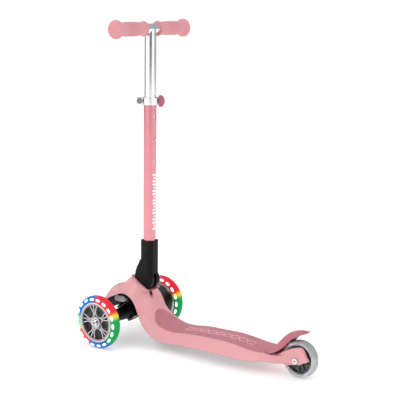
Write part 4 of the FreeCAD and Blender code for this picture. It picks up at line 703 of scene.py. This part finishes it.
class SCOOTER_OT_grips(bpy.types.Operator):
    """Finishes the hand grips and adds their ribs"""

    bl_idname = "scooter.grips"
    bl_label = "Grips"

    def execute(self, context):
        colours = context.scene.scooter_colours
        sizes = context.scene.scooter_sizes
        # Soft thermoplastic rubber, matt and very slightly leathery.
        grip_finish = rubber("pink_grip_rubber", colours.grip, 0.58, pip_mm=1.6, depth_mm=0.05, mottle=0.03)
        dress("bar_plugs", moulded("bar_plug_plastic", linear("#2a2a2c"), 0.5))
        for side, node in ((-1.0, "grip_left"), (1.0, "grip_right")):
            dress(node, grip_finish)
            skin = skin_of(node)
            middle = centre_of(node)
            half = reach_of(node).y / 2.0
            ribs = Heap()
            for number in range(sizes.grip_ribs):
                angle = 2.0 * math.pi * number / sizes.grip_ribs
                out = Vector((math.cos(angle), 0.0, math.sin(angle)))
                path = []
                for step in range(9):
                    y = middle.y - side * RIB_SHIFT + (step / 8.0 - 0.5) * 2.0 * half * RIB_SHARE
                    start = Vector((middle.x, y, middle.z)) + out * 40.0 * MM
                    hit = skin.ray_cast(start, -out)[0]
                    if hit is not None:
                        path.append(hit)
                if len(path) > 2:
                    path[0] = path[0] - out * RIB_END_SINK
                    path[-1] = path[-1] - out * RIB_END_SINK
                    ribs.tube(path, RIB_R, sides=6)
            rib_name = node.replace("grip", "grip_ribs")
            new_piece(rib_name, ribs.vertices, ribs.faces, "handlebar", grip_finish)
        return {"FINISHED"}


class SCOOTER_OT_truck(bpy.types.Operator):
    """Finishes the lean-steering truck under the nose"""

    bl_idname = "scooter.truck"
    bl_label = "Steering truck"

    def execute(self, context):
        black = context.scene.scooter_colours.black
        # Glass-filled nylon, darker and duller than the fold joint's.
        nylon = moulded("black_truck_nylon", tinted(black, 0.7), 0.4, grain_mm=0.9, depth_mm=0.04,
                        mottle=0.12, edge_mm=1.0, level=0.28)
        dress("steering_housing", nylon)
        dress("front_carriage", nylon)
        # Polyurethane cushions, dull black.
        dress("steering_cushions", rubber("cushion_polyurethane", linear("#1d1d1f"), 0.6))
        dress("kingpin", metal("kingpin_steel", linear("#c2c4c7"), 0.25))
        dress("kingpin_nut", metal("zinc_lock_nut", linear("#a6a8ab"), 0.3))
        dress("kingpin_bushes", moulded("acetal_bushes", linear("#cfccc2"), 0.4))
        dress("front_axles", metal("front_axle_steel", linear("#c9cbce"), 0.18))
        dress("steering_stop_screws", metal("stop_screw_steel", linear("#b9bbbe"), 0.22))
        dress("steering_lock_button", moulded("grey_button_abs", linear("#a3a5a8"), 0.38, edge_mm=0.8))
        dress("lock_button_spring", metal("button_spring_steel", linear("#8c8e92"), 0.3))
        return {"FINISHED"}


class SCOOTER_OT_front_wheels(bpy.types.Operator):
    """Finishes the two lit front wheels"""

    bl_idname = "scooter.front_wheels"
    bl_label = "Front wheels"

    def execute(self, context):
        tyre = lit_polyurethane("lit_clear_polyurethane", linear("#2f86cf"))
        lens = diode("diode_lens", linear("#fdfdff"))
        # Polycarbonate hub, metallised in a vacuum over lacquer: mirror-like where bare, dusky where tinted.
        spokes = metallised_hub("metallised_polycarbonate", linear("#d6d4d6"))
        # Glass-filled nylon disc behind the spokes.
        disc = moulded("black_hub_nylon", linear("#161618"), 0.38, mottle=0.2)
        bearing = metal("bearing_steel", linear("#c6c8cb"), 0.15)
        for side in ("left", "right"):
            dress("front_tyre_" + side, tyre)
            dress("light_ring_" + side, lens)
            dress("front_hub_" + side, spokes)
            dress("front_hub_disc_" + side, disc)
            dress("front_bearings_" + side, bearing)
            dress("front_bearing_spacer_" + side, bearing)
        return {"FINISHED"}


class SCOOTER_OT_rear_wheel(bpy.types.Operator):
    """Finishes the rear wheel and its axle"""

    bl_idname = "scooter.rear_wheel"
    bl_label = "Rear wheel"

    def execute(self, context):
        dress("rear_tyre", clear_polyurethane("clear_rear_polyurethane", linear("#f2f6f7")))
        dress("rear_hub", flaked("flaked_grey_nylon", linear("#3c3d40")))
        bearing = metal("rear_bearing_steel", linear("#c6c8cb"), 0.15)
        dress("rear_bearings", bearing)
        dress("rear_bearing_spacer", bearing)
        chrome = metal("chromed_axle_bolt", linear("#d9dadd"), 0.1, edge_mm=0.4)
        dress("rear_axle", chrome)
        dress("rear_axle_nut", chrome)
        dress("rear_axle_spacers", metal("turned_spacers", linear("#aeb0b3"), 0.3))
        return {"FINISHED"}


class SCOOTER_OT_brake(bpy.types.Operator):
    """Finishes the brake fender and its fittings"""

    bl_idname = "scooter.brake"
    bl_label = "Brake"

    def execute(self, context):
        colours = context.scene.scooter_colours
        # Moulded nylon fender, satin and a little glossier where the foot polishes it.
        dress("brake_fender", moulded("plum_fender_nylon", colours.fender, 0.38, grain_mm=0.8, mottle=0.04,
                                      edge_mm=1.4))
        dress("brake_wear_plate", metal("brake_plate_steel", linear("#9b9da0"), 0.35, stain=0.15))
        dress("wear_plate_rivets", metal("rivet_steel", linear("#b0b2b5"), 0.3))
        dress("brake_pin", metal("brake_pin_steel", linear("#b9bbbe"), 0.22))
        dress("brake_spring", metal("brake_spring_steel", linear("#8c8e92"), 0.3))
        return {"FINISHED"}


# Brightness of the studio's surround as it shows in reflections: heading in degrees, then the level.
SURROUND = (
    (-180.0, 0.36), (-158.0, 0.36), (-148.0, 1.12), (-72.0, 1.12), (-62.0, 0.16), (-24.0, 0.16),
    (-13.0, 1.12), (24.0, 1.12), (36.0, 0.42), (118.0, 0.42), (130.0, 0.34), (180.0, 0.34),
)


class SCOOTER_OT_stage(bpy.types.Operator):
    """Lays the floor and sets the lights and the camera"""

    bl_idname = "scooter.stage"
    bl_label = "Stage"

    def execute(self, context):
        scene = context.scene
        mesh = bpy.data.meshes.new("floor")
        ring = [(FLOOR_R * math.cos(math.radians(a)), FLOOR_R * math.sin(math.radians(a)), 0.0)
                for a in range(0, 360, 5)]
        mesh.from_pydata(ring, [], [tuple(range(len(ring)))])
        floor = bpy.data.objects.new("floor", mesh)
        scene.collection.objects.link(floor)
        floor.location.z = -FLOOR_DROP
        # Painted studio floor: matt, almost white, with a faint roller texture.
        paint, tree, place = new_material("white_floor_paint", linear("#e6e6e6"))
        roller = add(tree, "TexNoise", {"Vector": place, "Scale": 1.0 / (4 * MM),
                                        "Detail": 2.0}).outputs["Fac"]
        tone = add(tree, "ValToRGB", {"Fac": roller},
                   stops=[(0.3, linear("#e4e4e4")), (0.7, linear("#e8e8e8"))])
        normal = bump_chain(tree, [(roller, 0.05, 0.1 * MM)])
        shader = add(tree, "BsdfPrincipled", {
            "Base Color": tone.outputs["Color"], "Roughness": 0.9, "Normal": normal,
            "Specular IOR Level": 0.1, "Emission Color": WHITE, "Emission Strength": 0.3})
        add(tree, "OutputMaterial", {"Surface": shader.outputs[0]})
        mesh.materials.append(paint)

        self.light_world(scene)
        for name, spot, size, power in SOFTBOXES:
            light = bpy.data.lights.new(name, "AREA")
            light.shape = "SQUARE"
            light.size = size
            light.energy = power
            lamp = bpy.data.objects.new(name, light)
            scene.collection.objects.link(lamp)
            lamp.location = spot
            lamp.rotation_euler = (Vector(SOFTBOX_AIM) - Vector(spot)).to_track_quat("-Z", "Y").to_euler()

        camera_data = bpy.data.cameras.new("camera")
        camera_data.lens = CAMERA_LENS
        camera_data.sensor_width = CAMERA_SENSOR
        camera_data.sensor_height = CAMERA_SENSOR
        camera_data.clip_end = 100.0
        camera = bpy.data.objects.new("camera", camera_data)
        scene.collection.objects.link(camera)
        camera.location = CAMERA_PLACE
        camera.rotation_euler = (Vector(CAMERA_AIM) - camera.location).to_track_quat("-Z", "Y").to_euler()
        scene.camera = camera
        scene.view_settings.view_transform = "Standard"
        return {"FINISHED"}

    @staticmethod
    def light_world(scene):
        """White surround with darker standing flags in reflections, so that the tubes show bands of shade."""
        world = bpy.data.worlds.new("white_studio")
        world.use_nodes = True
        scene.world = world
        tree = world.node_tree
        tree.nodes.clear()
        way = add(tree, "TexCoord").outputs["Generated"]
        parts = add(tree, "SeparateXYZ", {"Vector": way})
        angle = add(tree, "Math", {0: parts.outputs["Y"], 1: parts.outputs["X"]},
                    operation="ARCTAN2").outputs[0]
        turn = add(tree, "MapRange", {"Value": angle, "From Min": -math.pi,
                                      "From Max": math.pi}).outputs["Result"]
        stops = [((degrees + 180.0) / 360.0, (level, level, level)) for degrees, level in SURROUND]
        bands = add(tree, "ValToRGB", {"Fac": turn}, stops=stops)
        path = add(tree, "LightPath")
        plain = add(tree, "Math", {0: path.outputs["Is Camera Ray"], 1: path.outputs["Is Diffuse Ray"]},
                    operation="MAXIMUM").outputs[0]
        mixed = add(tree, "Mix", {0: plain, 6: bands.outputs["Color"], 7: WHITE}, data_type="RGBA").outputs[2]
        background = add(tree, "Background", {"Color": mixed, "Strength": 1.0})
        add(tree, "OutputWorld", {"Surface": background.outputs[0]})


class SCOOTER_PT_panel(bpy.types.Panel):
    """Lists the scooter's pieces and settings in the sidebar"""

    bl_label = "Scooter"
    bl_idname = "SCOOTER_PT_panel"
    bl_space_type = "VIEW_3D"
    bl_region_type = "UI"
    bl_category = "Scooter"

    def draw(self, context):
        for group in (context.scene.scooter_colours, context.scene.scooter_sizes):
            column = self.layout.column(align=True)
            for name in group.__annotations__:
                column.prop(group, name)
        for operator in OPERATORS:
            self.layout.operator(operator.bl_idname)


OPERATORS = (
    SCOOTER_OT_stage, SCOOTER_OT_shell, SCOOTER_OT_pad, SCOOTER_OT_fold_joint, SCOOTER_OT_stem,
    SCOOTER_OT_clamp, SCOOTER_OT_grips, SCOOTER_OT_truck, SCOOTER_OT_front_wheels, SCOOTER_OT_rear_wheel,
    SCOOTER_OT_brake,
)
CLASSES = (ScooterColours, ScooterSizes, SCOOTER_PT_panel) + OPERATORS


def register():
    """Adds the classes and the settings to Blender."""
    for each in CLASSES:
        bpy.utils.register_class(each)
    bpy.types.Scene.scooter_colours = PointerProperty(type=ScooterColours)
    bpy.types.Scene.scooter_sizes = PointerProperty(type=ScooterSizes)


def unregister():
    """Takes the settings and the classes away again."""
    del bpy.types.Scene.scooter_sizes
    del bpy.types.Scene.scooter_colours
    for each in reversed(CLASSES):
        bpy.utils.unregister_class(each)


def main():
    """Builds every piece in order."""
    register()
    for operator in OPERATORS:
        group, name = operator.bl_idname.split(".")
        getattr(getattr(bpy.ops, group), name)()


if __name__ == "__main__":
    main()
